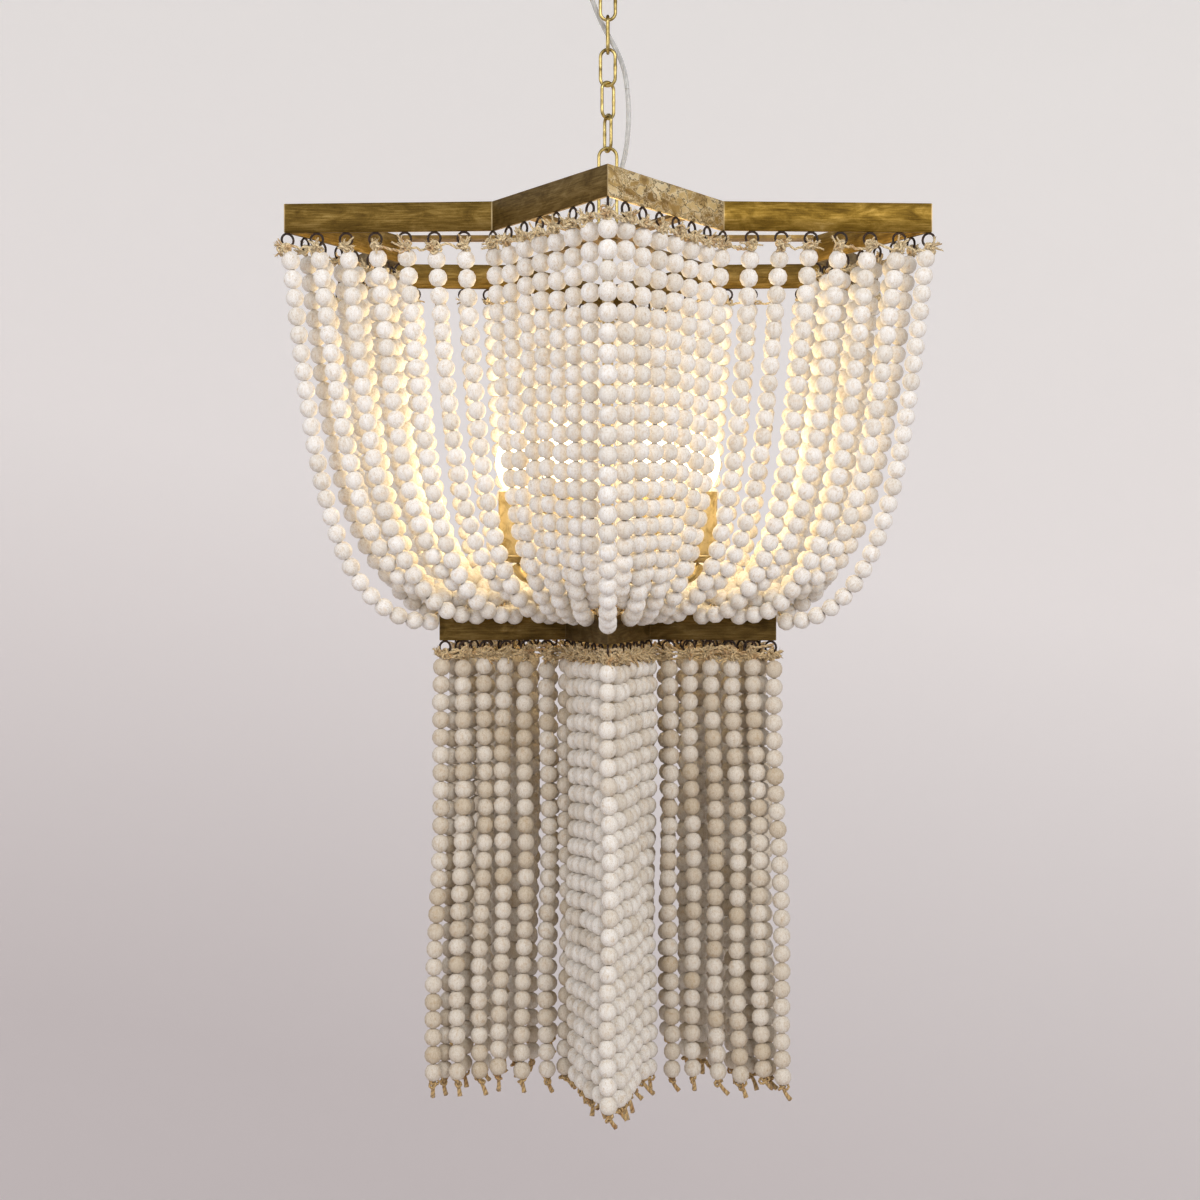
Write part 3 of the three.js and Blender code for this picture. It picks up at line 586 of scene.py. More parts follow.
def aged_gold():
    """Gold leaf over dark bronze, in coordinates that run along each bar: broad patches and brushed
    streaks, and on bars that kept all their leaf, torn flakes with dark cracks between them. The share of
    leaf is partly painted shade on the lower frame, where bars in the shade get less leaf and look darker."""
    finish = Finish("aged_gold")
    bar = finish.attribute("bar", "Vector")
    leaf_and_shade = finish.attribute("leaf_and_shade")
    broad = finish.scaled(bar, (0.5, 1, 1.2))
    brushed = finish.scaled(bar, (0.1, 1, 1.8))
    patches = finish.noise(broad, scale=75, detail=6, roughness=0.62, distortion=0.8)
    streaks = finish.noise(brushed, scale=420, detail=4, roughness=0.65)
    shade = finish.mix(0.45, patches, streaks)
    bronze = finish.ramp(shade, [
        (0.34, (0.048, 0.030, 0.010)), (0.50, (0.105, 0.068, 0.024)), (0.66, (0.210, 0.150, 0.066)),
    ])
    gold = finish.ramp(shade, [
        (0.34, (0.090, 0.048, 0.005)), (0.48, (0.205, 0.120, 0.014)),
        (0.58, (0.340, 0.210, 0.038)), (0.70, (0.520, 0.360, 0.110)),
    ])
    # Less leaf shows more bronze: partly painted shade, as the lower frame's bars in the shade get less leaf
    worn_and_shaded = finish.mix(leaf_and_shade, bronze, gold)
    ragged = finish.node("TexNoise", "Color", {"Vector": bar, "Scale": 95, "Detail": 8, "Roughness": 0.7})
    leaning = finish.node("Mapping", "Vector", {
        "Vector": bar, "Rotation": (0, FLAKE_LEAN, 0), "Scale": (0.5, 1, 1.15),
    })
    ragged = finish.node("VectorMath", "Vector", {
        0: ragged, 1: (FLAKE_TEAR, FLAKE_TEAR, FLAKE_TEAR), 2: leaning,
    }, operation="MULTIPLY_ADD")
    cells = {"Vector": ragged, "Scale": 1 / FLAKE_SIZE}
    own = finish.node("TexVoronoi", "Color", cells)
    edge = finish.node("TexVoronoi", "Distance", cells, feature="DISTANCE_TO_EDGE")
    torn = finish.mix(0.4, patches, own)
    flakes = finish.ramp(torn, [
        (0.32, (0.300, 0.180, 0.055)), (0.45, (0.580, 0.390, 0.140)), (0.56, (0.800, 0.590, 0.260)),
        (0.68, (0.980, 0.820, 0.510)),
    ])
    rim = finish.math("MULTIPLY", finish.ramp(edge, [
        (0.03, 0.0), (0.07, 1.0), (0.14, 0.0),
    ]), finish.ramp(patches, [(0.44, 0.1), (0.54, 1.0)]))
    flakes = finish.mix(rim, flakes, (1.0, 0.88, 0.60))
    crack = finish.math("MULTIPLY", finish.ramp(edge, [
        (0.02, 1.0), (0.06, 0.0),
    ]), finish.ramp(own, [(0.35, 0.1), (0.6, 1.0)]))
    flakes = finish.mix(crack, flakes, (0.080, 0.042, 0.013))
    whole = finish.ramp(leaf_and_shade, [(0.86, 0.0), (0.98, 0.9)])
    colour = finish.mix(whole, worn_and_shaded, flakes)
    grain = finish.noise(bar, scale=900, detail=3, roughness=0.6)
    dust = finish.ramp(grain, [(0.35, 0.72), (0.65, 1.0)])
    colour = finish.mix(0.7, colour, dust, "MULTIPLY")
    colour = finish.mix(finish.attribute("seam"), colour, (0.70, 0.55, 0.30))
    rough = finish.ramp(patches, [(0.3, 0.62), (0.7, 0.4)])
    height = finish.math("ADD", patches, finish.math("MULTIPLY", grain, 0.35))
    return finish.set(
        Base_Color=colour, Metallic=0.65, Roughness=rough, Specular_IOR_Level=0.1,
        Normal=finish.bump(height, strength=0.35, distance=LEAF_RELIEF),
    )


def plain_gold():
    """The frames' finish for pieces in the shade inside: leaf patches alone."""
    finish = Finish("plain_gold")
    patches = finish.noise(finish.place(), scale=34, detail=6, roughness=0.6, distortion=1.0)
    colour = finish.ramp(patches, [
        (0.30, (0.075, 0.042, 0.010)), (0.50, (0.170, 0.102, 0.022)), (0.72, (0.300, 0.195, 0.055)),
    ])
    rough = finish.ramp(patches, [(0.3, 0.6), (0.7, 0.4)])
    return finish.set(
        Base_Color=colour, Metallic=0.6, Roughness=rough,
        Normal=finish.bump(patches, strength=0.3, distance=LEAF_RELIEF),
    )


def brass(name, colour, dark, roughness):
    """Brass with soft smudges and fine turning marks."""
    finish = Finish(name)
    smudge = finish.noise(finish.place(), scale=120, detail=5, roughness=0.6, distortion=0.6)
    tone = finish.ramp(smudge, [(0.34, dark), (0.56, colour)])
    marks = finish.noise(finish.place((1, 1, 7)), scale=600, detail=2)
    rough = finish.ramp(smudge, [(0.3, roughness * SMUDGE_ROUGHNESS_SHARE), (0.7, roughness)])
    return finish.set(
        Base_Color=tone, Metallic=1.0, Roughness=rough,
        Normal=finish.bump(marks, strength=0.08, distance=BRASS_RELIEF),
    )


def bead_wood():
    """Whitewashed wood: the wood shows faintly through a chalky wash, along the grain of each bead. The
    tone of each bead varies at random and also carries painted shade: low tones, a warmer darker beige,
    stand for beads in the shade.
    """
    finish = Finish("bead_wood")
    own = finish.attribute("grain", "Vector")
    drawn_out = finish.scaled(own, (1.0, 1.0, 0.25))
    grain = finish.noise(drawn_out, scale=5.0, detail=5, roughness=0.65, distortion=0.5)
    wash = finish.ramp(grain, [
        (0.26, (0.66, 0.58, 0.48)), (0.42, (0.82, 0.79, 0.75)), (0.58, (0.89, 0.88, 0.87)),
    ])
    # Painted shade: the low end of the tones is a warm darker beige, for beads in the shade
    tone = finish.ramp(finish.attribute("tone"), [
        (0.0, (0.62, 0.535, 0.405)), (0.5, (0.87, 0.845, 0.79)), (1.0, (1.0, 1.0, 0.985)),
    ])
    colour = finish.mix(1.0, wash, tone, "MULTIPLY")
    blotch = finish.noise(own, scale=1.7, detail=3, roughness=0.55)
    stain = finish.ramp(blotch, [(0.30, (0.84, 0.74, 0.62)), (0.48, (1.0, 1.0, 1.0))])
    colour = finish.mix(0.7, colour, stain, "MULTIPLY")
    fine = finish.noise(own, scale=10, detail=4, roughness=0.7)
    specks = finish.ramp(fine, [(0.36, (0.62, 0.53, 0.42)), (0.49, (1.0, 1.0, 1.0))])
    colour = finish.mix(0.65, colour, specks, "MULTIPLY")
    height = finish.math("ADD", grain, finish.math("MULTIPLY", fine, 0.5))
    return finish.set(
        Base_Color=colour, Roughness=0.8, Normal=finish.bump(height, strength=0.3, distance=WOOD_RELIEF),
    )


def iron_wire():
    """Dark iron with brown rust in patches."""
    finish = Finish("ring_iron")
    rust = finish.noise(finish.place(), scale=420, detail=4, roughness=0.65)
    colour = finish.ramp(rust, [(0.40, (0.012, 0.008, 0.006)), (0.62, (0.045, 0.020, 0.010))])
    return finish.set(
        Base_Color=colour, Specular_IOR_Level=0.3, Roughness=0.55,
        Normal=finish.bump(rust, strength=0.25, distance=RUST_RELIEF),
    )


def jute():
    """Two-ply jute: grooves wind round the twine, darkened as painted shade, and dry fibres lie in mixed
    tones, darker towards the bottom.
    """
    finish = Finish("jute")
    ply = finish.lay(TWINE_LAY)
    fibre = finish.noise(finish.place(), scale=1500, detail=4, roughness=0.7)
    dry = finish.ramp(fibre, [
        (0.32, (0.42, 0.28, 0.115)), (0.50, (0.83, 0.65, 0.37)), (0.66, (1.0, 0.92, 0.69)),
    ])
    patch = finish.noise(finish.place(), scale=120, detail=2)
    tint = finish.ramp(patch, [(0.34, (0.70, 0.52, 0.36)), (0.46, (1.0, 1.0, 1.0))])
    colour = finish.mix(0.8, dry, tint, "MULTIPLY")
    # Painted shade: the grooves between the plies are darker
    groove = finish.ramp(ply, [(0.0, 0.5), (0.5, 1.0)])
    colour = finish.mix(0.85, colour, groove, "MULTIPLY")
    # Darker towards the bottom, by height
    darkened = finish.mix(1.0, colour, (0.60, 0.47, 0.28), "MULTIPLY")
    colour = finish.mix(finish.attribute("darkening"), colour, darkened)
    height = finish.math("ADD", ply, finish.math("MULTIPLY", fibre, 0.6))
    return finish.set(
        Base_Color=colour, Roughness=0.9, Sheen_Weight=0.2,
        Normal=finish.bump(height, strength=0.7, distance=TWINE_RELIEF),
    )


def plain(name, low, high, scale, roughness, **more):
    """A plain finish that varies a little between two close tones."""
    finish = Finish(name)
    cloud = finish.noise(finish.place(), scale, detail=3)
    colour = finish.ramp(cloud, [(0.3, low), (0.7, high)])
    return finish.set(Base_Color=colour, Roughness=roughness, **more)


def lit_glass():
    """Warm frosted glass, brightest round the middle of the flame shape."""
    finish = Finish("bulb_glass")
    tone = finish.ramp(finish.attribute("glow"), [
        (0.0, (1.0, 0.46, 0.13)), (0.5, (1.0, 0.68, 0.33)), (1.0, (1.0, 0.86, 0.62)),
    ])
    return finish.set(
        Base_Color=(0.92, 0.86, 0.74), Roughness=0.25, Emission_Color=tone, Emission_Strength=BULB_GLOW,
    )


def clear_sheath():
    """Clear plastic: mostly see-through, with a faint cool haze."""
    finish = Finish("clear_sheath")
    haze = finish.noise(finish.place((1, 1, 0.4)), scale=260, detail=3)
    see = finish.ramp(haze, [(0.35, 0.4), (0.65, 0.62)])
    return finish.set(Base_Color=(0.70, 0.72, 0.71), Roughness=0.12, Alpha=see, Coat_Weight=0.5)


def tinned_core():
    """Fine tinned strands, wound tightly, with painted shade in the grooves between them."""
    finish = Finish("tinned_core")
    lay = finish.lay(CORE_LAY)
    # Painted shade: darker where the wound strands meet
    colour = finish.ramp(lay, [(0.0, (0.33, 0.31, 0.30)), (1.0, (0.74, 0.71, 0.69))])
    return finish.set(
        Base_Color=colour, Metallic=0.8, Roughness=0.34,
        Normal=finish.bump(lay, strength=0.5, distance=CORE_RELIEF),
    )


gold_leaf = aged_gold()
shaded_gold = plain_gold()
chain_brass = brass("chain_brass", (0.52, 0.41, 0.16), (0.17, 0.12, 0.03), roughness=0.26)
body_brass = brass("body_brass", (0.60, 0.49, 0.27), (0.33, 0.25, 0.11), roughness=0.3)
wood = bead_wood()
iron = iron_wire()
twine = jute()
china = plain("porcelain", (0.72, 0.68, 0.60), (0.83, 0.80, 0.74), scale=90, roughness=0.3, Coat_Weight=0.4)
plastic = plain("white_plastic", (0.70, 0.68, 0.63), (0.78, 0.76, 0.72), scale=900, roughness=0.5)
bulb_glass = lit_glass()
sheath = clear_sheath()
core = tinned_core()


# Camera and lights
def add_camera():
    """The view of the photograph."""
    camera = add_object("camera", bpy.data.cameras.new("camera"))
    camera.data.lens = CAMERA_LENS
    camera.data.sensor_width = CAMERA_SENSOR
    camera.location = (0, -CAMERA_DISTANCE, FRAME_TOP - CAMERA_DROP)
    camera.rotation_euler = (math.pi / 2 - CAMERA_PITCH, 0, CAMERA_YAW)
    bpy.context.scene.camera = camera


def add_lamp(name, kind, power, colour, place):
    """A light of this kind at a place."""
    lamp = add_object(name, bpy.data.lights.new(name, kind))
    lamp.data.energy = power
    lamp.data.color = colour
    lamp.location = place
    return lamp


# Supply cable: the same points as in the model, in millimetres right of the middle, behind it, and
# above the top edge of the upper frame
CABLE_UPPER_ROUTE = [
    (-19.5, 3, 264),
    (-19.5, 3, 254),
    (-19.5, 3, 244),
    (-19.2, 3, 234),
    (-17.6, 3.6, 225),
    (-14.4, 5, 216),
    (-9.4, 8.2, 204),
    (-3.4, 11, 192),
    (3.4, 11.6, 180),
    (9.8, 9.6, 167),
    (14.6, 6.9, 153),
    (16.9, 4.9, 141),
    (17.6, 4.2, 134.5),
]
CABLE_LOWER_ROUTE = [
    (17.65, 4.17, 134.1),
    (18.3, 3.6, 127.8),
    (18.9, 3.4, 111),
    (18.2, 3.6, 94),
    (16.4, 4.4, 79),
    (13.2, 5.8, 65),
    (8.8, 6.6, 52),
    (4.4, 4.6, 40),
    (1.4, 1.6, 30),
    (0, 0, 21),
    (0, 0, 12.5),
]


def add_cable(name, route, node):
    """A clear tube along the route, and two cores inside it that wind round each other: each core's line
    is the route plus an offset square to it that turns once in each twist length."""
    line = smooth_curve(np.array(route) * MM + UP * FRAME_TOP, CABLE_STEPS)
    along = unit(np.gradient(line, axis=0))
    first = unit(np.cross(along, RIGHT + BACK))
    second = np.cross(along, first)
    places = arc_places(line)
    turn = places[:, None] / CORE_TWIST_LENGTH * TURN
    offset = (first * np.cos(turn) + second * np.sin(turn)) * CORE_OFFSET
    outer, _ = tubes(line[None], CABLE_RADIUS, CABLE_SIDES, RIGHT + BACK)
    inner, twist = tubes(np.stack([line + offset, line - offset]), CORE_RADIUS, CORE_SIDES, RIGHT + BACK)
    pieces = [
        add_piece(name, outer, sheath, nodes=[node]),
        add_piece(name + "_cores", inner, core, attributes={"twist": twist}),
    ]
    for piece in pieces:
        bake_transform(piece)
    print(name, "length", round(places[-1], 4))


add_camera()
add_cable("cable_upper", CABLE_UPPER_ROUTE, "supply_cable_upper")
add_cable("cable_lower", CABLE_LOWER_ROUTE, "supply_cable_lower")


# Stars
def star_corner(number, tip, notch):
    """A star's corner in plan: even numbers are tips, odd ones are notches, and number 0 faces -Y."""
    angle = -math.pi / 2 + number / STAR_POINTS * math.pi
    radius = notch if number % 2 else tip
    return np.array([radius * math.cos(angle), radius * math.sin(angle)])


def side_distance(tip, notch):
    """How far a side's line is from the middle: the cross product of its corners over its length."""
    first, second = star_corner(0, tip, notch), star_corner(1, tip, notch)
    return abs(first[0] * second[1] - first[1] * second[0]) / np.linalg.norm(first - second)


def drawn_in(tip, notch, amount):
    """The same star with its sides nearer the middle by this amount."""
    scale = 1 - amount / side_distance(tip, notch)
    return tip * scale, notch * scale


def add_star_frame(name, node, tip, notch, bottom, top, leaf_and_shade_shares, seam_share):
    """Flat bars on edge, twelve sides. Each point is a place on the star's outline, scaled to its depth
    in the bar's chamfered section, at its height in the section."""
    cut, thick, tall = BAR_CHAMFER, BAR_THICKNESS, top - bottom
    section = np.array([
        (0, cut), (0, tall - cut), (cut, tall), (thick - cut, tall),
        (thick, tall - cut), (thick, cut), (thick - cut, 0), (cut, 0),
    ])
    corners = np.array([star_corner(number, tip, notch) for number in range(2 * STAR_POINTS)])
    seam = SEAM_WIDTH / np.linalg.norm(corners[1] - corners[0])
    share = np.array([0, seam, 0.5, 1 - seam])
    ahead = np.roll(corners, -1, axis=0)
    outline = corners[:, None] * (1 - share[:, None]) + ahead[:, None] * share[:, None]
    scale = 1 - section[:, 0] / side_distance(tip, notch)
    plan = outline.reshape(-1, 1, 2) * scale[:, None]
    points = flat(plan, bottom + section[:, 1]).reshape(-1, 3)
    faces = grid_faces(len(plan), len(section), close_rows=True)[:, ::-1]
    is_seam = np.tile(np.repeat(share == 0, len(section)), 2 * STAR_POINTS)
    # Each side's share of leaf, on the lower frame partly painted shade
    leaf_and_shade = np.repeat(leaf_and_shade_shares, len(share) * len(section))
    around = np.repeat(arc_places(outline.reshape(-1, 2)), len(section))
    bar = np.stack([around, np.tile(section[:, 0], len(plan)), points[:, 2]], axis=1)
    attributes = {"seam": np.where(is_seam, seam_share, 0.0), "leaf_and_shade": leaf_and_shade, "bar": bar}
    add_piece(name, (points, faces), gold_leaf, "fixture", [node], attributes)


add_star_frame(
    "gilt_upper_frame", "upper_star_frame", UPPER_TIP_RADIUS, UPPER_NOTCH_RADIUS, FRAME_BOTTOM, FRAME_TOP,
    UPPER_LEAF_SHARES, UPPER_SEAM_SHARE,
)
add_star_frame(
    "gilt_lower_frame", "lower_star_frame", LOWER_TIP_RADIUS, LOWER_NOTCH_RADIUS, LOWER_BOTTOM, LOWER_TOP,
    LOWER_LEAF_AND_SHADE_SHARES, LOWER_SEAM_SHARE,
)

UPPER_RINGS = drawn_in(UPPER_TIP_RADIUS, UPPER_NOTCH_RADIUS, BAR_THICKNESS / 2)
LOWER_RINGS = drawn_in(LOWER_TIP_RADIUS, LOWER_NOTCH_RADIUS, BAR_THICKNESS / 2)
LOWER_STAR = (LOWER_TIP_RADIUS, LOWER_NOTCH_RADIUS)


class Spots:
    """All the spots round a star where strands hang, in order, as arrays: place, way out of the star, the
    direction of the ring's plane, steps from the tip, and the star point each belongs to."""

    def __init__(self, pitches, star, height):
        number = np.arange(STAR_POINTS * 2 * pitches)
        signed = (number + pitches - 1) % (2 * pitches) - pitches + 1
        self.point = ((number - signed) // (2 * pitches)) % STAR_POINTS
        self.steps = np.abs(signed)
        places, outs, planes = [], [], []
        for tip_number, step in zip(2 * self.point, signed):
            side, share = (1 if step >= 0 else -1), abs(step) / pitches
            tip = star_corner(tip_number, *star)
            notch = star_corner(tip_number + side, *star)
            along = unit(notch - tip)
            meets = share in (0, 1)
            out = unit(notch if share else tip) if meets else np.array([along[1], -along[0]]) * side
            places.append(tip * (1 - share) + notch * share)
            outs.append(out)
            planes.append(out if meets else along)
        self.places = flat(places, height)
        self.outs = flat(outs)
        self.planes = flat(planes)
        self.ring_centres = self.places - UP * (RING_OUTSIDE / 2 - RING_SINK)
        self.feet = self.ring_centres - UP * (RING_OUTSIDE / 2 - RING_WIRE_RADIUS)


upper_spots = Spots(UPPER_PITCHES, UPPER_RINGS, FRAME_BOTTOM)
lower_spots = Spots(LOWER_PITCHES, LOWER_RINGS, LOWER_BOTTOM)
end_spots = Spots(UPPER_PITCHES, LOWER_STAR, LOWER_TOP)


class Beads:
    """Arrays with a row for each bead: centre, strand, place in the strand, pitch and way down."""

    def __init__(self, strands):
        self.centres = np.concatenate([centres for centres, _ in strands])
        self.strand = np.concatenate([np.full(len(part[0]), number) for number, part in enumerate(strands)])
        self.rank = np.concatenate([np.arange(len(centres)) for centres, _ in strands])
        self.pitches = np.concatenate([np.full(len(centres), pitch) for centres, pitch in strands])
        self.first = self.rank == 0
        self.last = np.append(self.strand[1:] != self.strand[:-1], True)

    def settle(self):
        """Crowded beads pushed apart: in each round, beads closer than a diameter each move half of what
        is missing, and each strand's neighbours are drawn back to their pitch. First beads stay put."""
        crowd = np.flatnonzero(self.rank >= SETTLE_FROM)
        linked = np.flatnonzero(~self.last[:-1])
        other = self.strand[crowd][:, None] != self.strand[crowd]
        for _ in range(SETTLE_ROUNDS):
            gap = self.centres[crowd][:, None] - self.centres[crowd]
            apart = np.linalg.norm(gap, axis=-1) + np.eye(len(crowd))
            push = np.where(other & (apart < BEAD_DIAMETER), (BEAD_DIAMETER - apart) / apart, 0) / 2
            move = np.zeros_like(self.centres)
            move[crowd] = (gap * push[..., None]).sum(axis=1)
            step = self.centres[linked + 1] - self.centres[linked]
            wanted = self.pitches[linked][:, None] / np.linalg.norm(step, axis=1, keepdims=True)
            pull = step * (1 - wanted) / 2
            np.add.at(move, linked, pull)
            np.add.at(move, linked + 1, -pull)
            self.centres = self.centres + move * ~self.first[:, None]

    def find_ways(self):
        """The way down at each bead: from the bead before it to the bead after it."""
        number = np.arange(len(self.rank))
        after = np.where(self.last, number, number + 1)
        before = np.where(self.first, number, number - 1)
        self.ways = unit(self.centres[after] - self.centres[before])


def upper_strands():
    """Each strand is a cubic curve from its ring to the lower star, with its beads spaced evenly from the
    first one to the curve's end, but for a slight shift that is greatest half way."""
    ends = end_spots.places + end_spots.outs * STRAND_END_STANDOFF
    t = np.linspace(0, 1, CURVE_SAMPLES)[:, None]
    weights = np.concatenate([(1 - t) ** 3, 3 * t * (1 - t) ** 2, 3 * t ** 2 * (1 - t), t ** 3], axis=1)
    strands = []
    for top, end, steps in zip(upper_spots.places, ends, upper_spots.steps):
        drop = STRAND_END_DROP + (TIP_STRAND_DROP if steps == 0 else 0)
        end_height = LOWER_TOP - drop + (steps % 2) * BEAD_DIAMETER
        plan = top[:2] + (end - top)[:2] * np.array(SAG_REACH_SHARES)[:, None]
        height = FRAME_BOTTOM + (end_height - FRAME_BOTTOM) * np.array(SAG_FALL_SHARES)
        curve = weights @ flat(plan, height)
        length = arc_places(curve)[-1]
        first = UPPER_FIRST_BEAD + chance.uniform(-1, 1) * UPPER_FIRST_SPREAD
        places, pitch = np.linspace(first, length, round((length - first) / BEAD_PITCH) + 1, retstep=True)
        slide = chance.uniform(-1, 1) * UPPER_SLIDE * np.sin(np.linspace(0, math.pi, len(places)))
        strands.append((at_places(curve, places + slide), pitch))
    return strands


def lower_strands():
    """Each strand hangs straight, but for a slow sway that grows from the ring down. The strands of a
    point lean the way the point does, most at its tip. Beads are spaced evenly, but for a slight shift
    that is greatest half way."""
    rank = np.arange(LOWER_BEADS)[:, None]
    point_ways = [unit(star_corner(2 * point, *LOWER_STAR)) for point in lower_spots.point]
    leans = flat(np.array(point_ways) * (1 - lower_spots.steps / LOWER_PITCHES)[:, None])
    strands = []
    for place, out, steps, lean in zip(lower_spots.places, lower_spots.outs, lower_spots.steps, leans):
        first = LOWER_FIRST_BEAD + chance.uniform(-1, 1) * LOWER_FIRST_SPREAD
        pitch = LOWER_PITCH + chance.uniform(-1, 1) * LOWER_PITCH_SPREAD
        phase = chance.uniform(0, TURN, 2)
        wave = np.sin(rank / LOWER_BEADS * STRAND_WAVES * TURN + phase) - np.sin(phase)
        spread = out * (LOWER_STRAND_SPREAD if steps == 1 else 0)
        slide = chance.uniform(-1, 1) * LOWER_SLIDE * np.sin(rank / LOWER_BEADS * math.pi)
        drop = first + rank * pitch + slide
        flare = lean * (LOWER_FIRST_STANDOFF + LOWER_STRAND_FLARE * drop / LOWER_STRAND_LENGTH)
        strands.append((place + spread + flare + flat(wave * STRAND_SWAY) - UP * drop, pitch))
    return strands


def add_beads(name, node, beads, chosen, tones):
    """Turned beads with a bore. The closed outline's pairs are shares of the bead's radius across and of
    half the pitch along the strand, and each pair is a circle round the bead's own direction."""
    centres = beads.centres[chosen]
    count = len(centres)
    axes = unit(beads.ways[chosen] + chance.normal(0, BEAD_TILT, (count, 3)))
    first = unit(np.cross(axes, chance.normal(size=(count, 3))))
    basis = np.stack([first, np.cross(axes, first), axes], axis=1)
    outline = np.array(BEAD_OUTLINE_SHARES)
    angle = np.arange(BEAD_SIDES) / BEAD_SIDES * TURN
    local = np.stack(np.broadcast_arrays(
        outline[:, :1] * np.cos(angle), outline[:, :1] * np.sin(angle), outline[:, 1:],
    ), axis=-1).reshape(-1, 3)
    radius = BEAD_DIAMETER / 2 * (1 + chance.uniform(-1, 1, count) * BEAD_SIZE_SPREAD)
    size = np.stack([radius, radius, beads.pitches[chosen] / 2], axis=1)
    points = centres[:, None] + (local * size[:, None]) @ basis
    faces = grid_faces(len(outline), BEAD_SIDES, close_rows=True)
    faces = faces + np.arange(count)[:, None, None] * len(local)
    grain = local + chance.uniform(0, GRAIN_OFFSET, (count, 1, 3))
    low, high = tones
    # Each bead's tone varies at random within the given range; the lower curtain's ranges are set low as
    # painted shade
    tone = high - (high - low) * chance.uniform(size=count) ** TONE_SKEW
    attributes = {"grain": grain.reshape(-1, 3), "tone": np.repeat(tone, len(local))}
    patch = (points.reshape(-1, 3), faces.reshape(-1, 4))
    add_piece(name, patch, wood, "fixture", [node], attributes)


def add_rings(name, spots):
    """Wire rings: each path point is on a circle in the ring's upright plane."""
    angle = np.arange(RING_STEPS)[:, None] / RING_STEPS * TURN
    radius = RING_OUTSIDE / 2 - RING_WIRE_RADIUS
    circles = spots.planes[:, None] * np.cos(angle) + UP * np.sin(angle)
    paths = spots.ring_centres[:, None] + radius * circles
    normals = np.cross(spots.planes, UP)
    patch, _ = tubes(paths, RING_WIRE_RADIUS, RING_SIDES, normals, closed=True)
    add_piece(name, patch, iron, "fixture", sharp=False)


# Twine. Each function gives tubes, as a patch and its twist
def wraps(feet, planes, holes):
    """Twine that leaves the first bead's hole, winds round the ring's lowest wire and goes back: the
    winding is a circle round the wire, moving along it."""
    share = np.linspace(0, 1, WRAP_STEPS)[:, None]
    angle = -math.pi / 2 + share * WRAP_TURNS * TURN
    around = np.cross(planes, UP)[:, None] * np.cos(angle) + UP * np.sin(angle)
    along = planes[:, None] * (share * 2 - 1) * WRAP_HALF_WIDTH
    winding = feet[:, None] + around * (RING_WIRE_RADIUS + TWINE_RADIUS) + along
    leg = np.linspace(0, 1, LEG_STEPS, endpoint=False)[:, None]
    up = holes[:, None] * (1 - leg) + winding[:, :1] * leg
    down = holes[:, None] * (1 - leg[::-1]) + winding[:, -1:] * leg[::-1]
    return tubes(np.concatenate([up, winding, down], axis=1), TWINE_RADIUS, TWINE_SIDES, planes)


def knots(centres):
    """A trefoil round each centre, turned its own way."""
    t = np.arange(KNOT_STEPS) / KNOT_STEPS * TURN
    trefoil = np.stack([
        np.sin(t) + 2 * np.sin(2 * t),
        np.cos(t) - 2 * np.cos(2 * t),
        -np.sin(3 * t),
    ], axis=1) * KNOT_SCALE
    first = unit(chance.normal(size=centres.shape))
    second = unit(np.cross(first, chance.normal(size=centres.shape)))
    third = np.cross(first, second)
    paths = centres[:, None] + trefoil @ np.stack([first, second, third], axis=1)
    return tubes(paths, KNOT_RADIUS, TWINE_SIDES, third, closed=True)


def ends(starts, ways, lengths, radii, curl, fibres):
    """Short ends: each goes its own way and bends off to one side with the square of the distance. Fine
    fibres do the same from their far ends."""
    def curling(starts, ways, lengths, radii, sides):
        side = unit(np.cross(ways, chance.normal(size=ways.shape)))
        share = np.linspace(0, 1, len(radii))[:, None]
        way = ways[:, None] * share + side[:, None] * share ** 2 * curl
        paths = starts[:, None] + way * lengths[:, None, None]
        return paths, tubes(paths, radii, sides, np.cross(ways, side))

    paths, thick = curling(starts, ways, lengths, radii, TWINE_SIDES)
    tips = np.repeat(paths[:, -2], fibres, axis=0)
    tip_ways = np.repeat(unit(paths[:, -1] - paths[:, -2]), fibres, axis=0)
    tip_ways = unit(tip_ways + chance.normal(0, FIBRE_SPREAD, tips.shape))
    lengths = FIBRE_LENGTH * chance.uniform(*FIBRE_LENGTH_SHARES, len(tips))
    return [thick, curling(tips, tip_ways, lengths, FIBRE_RADII, FIBRE_SIDES)[1]]


def bands(starts, finishes):
    """Twine from one place to the next: a straight line with a sag, and with noise that is none at its
    ends."""
    share = np.linspace(0, 1, BAND_STEPS)[:, None]
    swell = np.sin(share * math.pi)
    line = starts[:, None] * (1 - share) + finishes[:, None] * share
    sag = chance.uniform(*BAND_SAG_SHARES, (len(starts), 1, 1)) * BAND_SAG
    noise = chance.normal(0, BAND_NOISE, line.shape)
    return tubes(line + noise * swell - UP * swell * sag, TWINE_RADIUS, TWINE_SIDES, UP)


def threads(beads, spots, chosen):
    """The thread inside each strand: a line through the beads' centres."""
    paths = []
    for number in np.flatnonzero(chosen):
        line = beads.centres[beads.strand == number]
        paths.append(at_places(line, np.linspace(0, arc_places(line)[-1], THREAD_STEPS)))
    return tubes(paths, THREAD_RADIUS, THREAD_SIDES, np.cross(spots.places[chosen], UP))


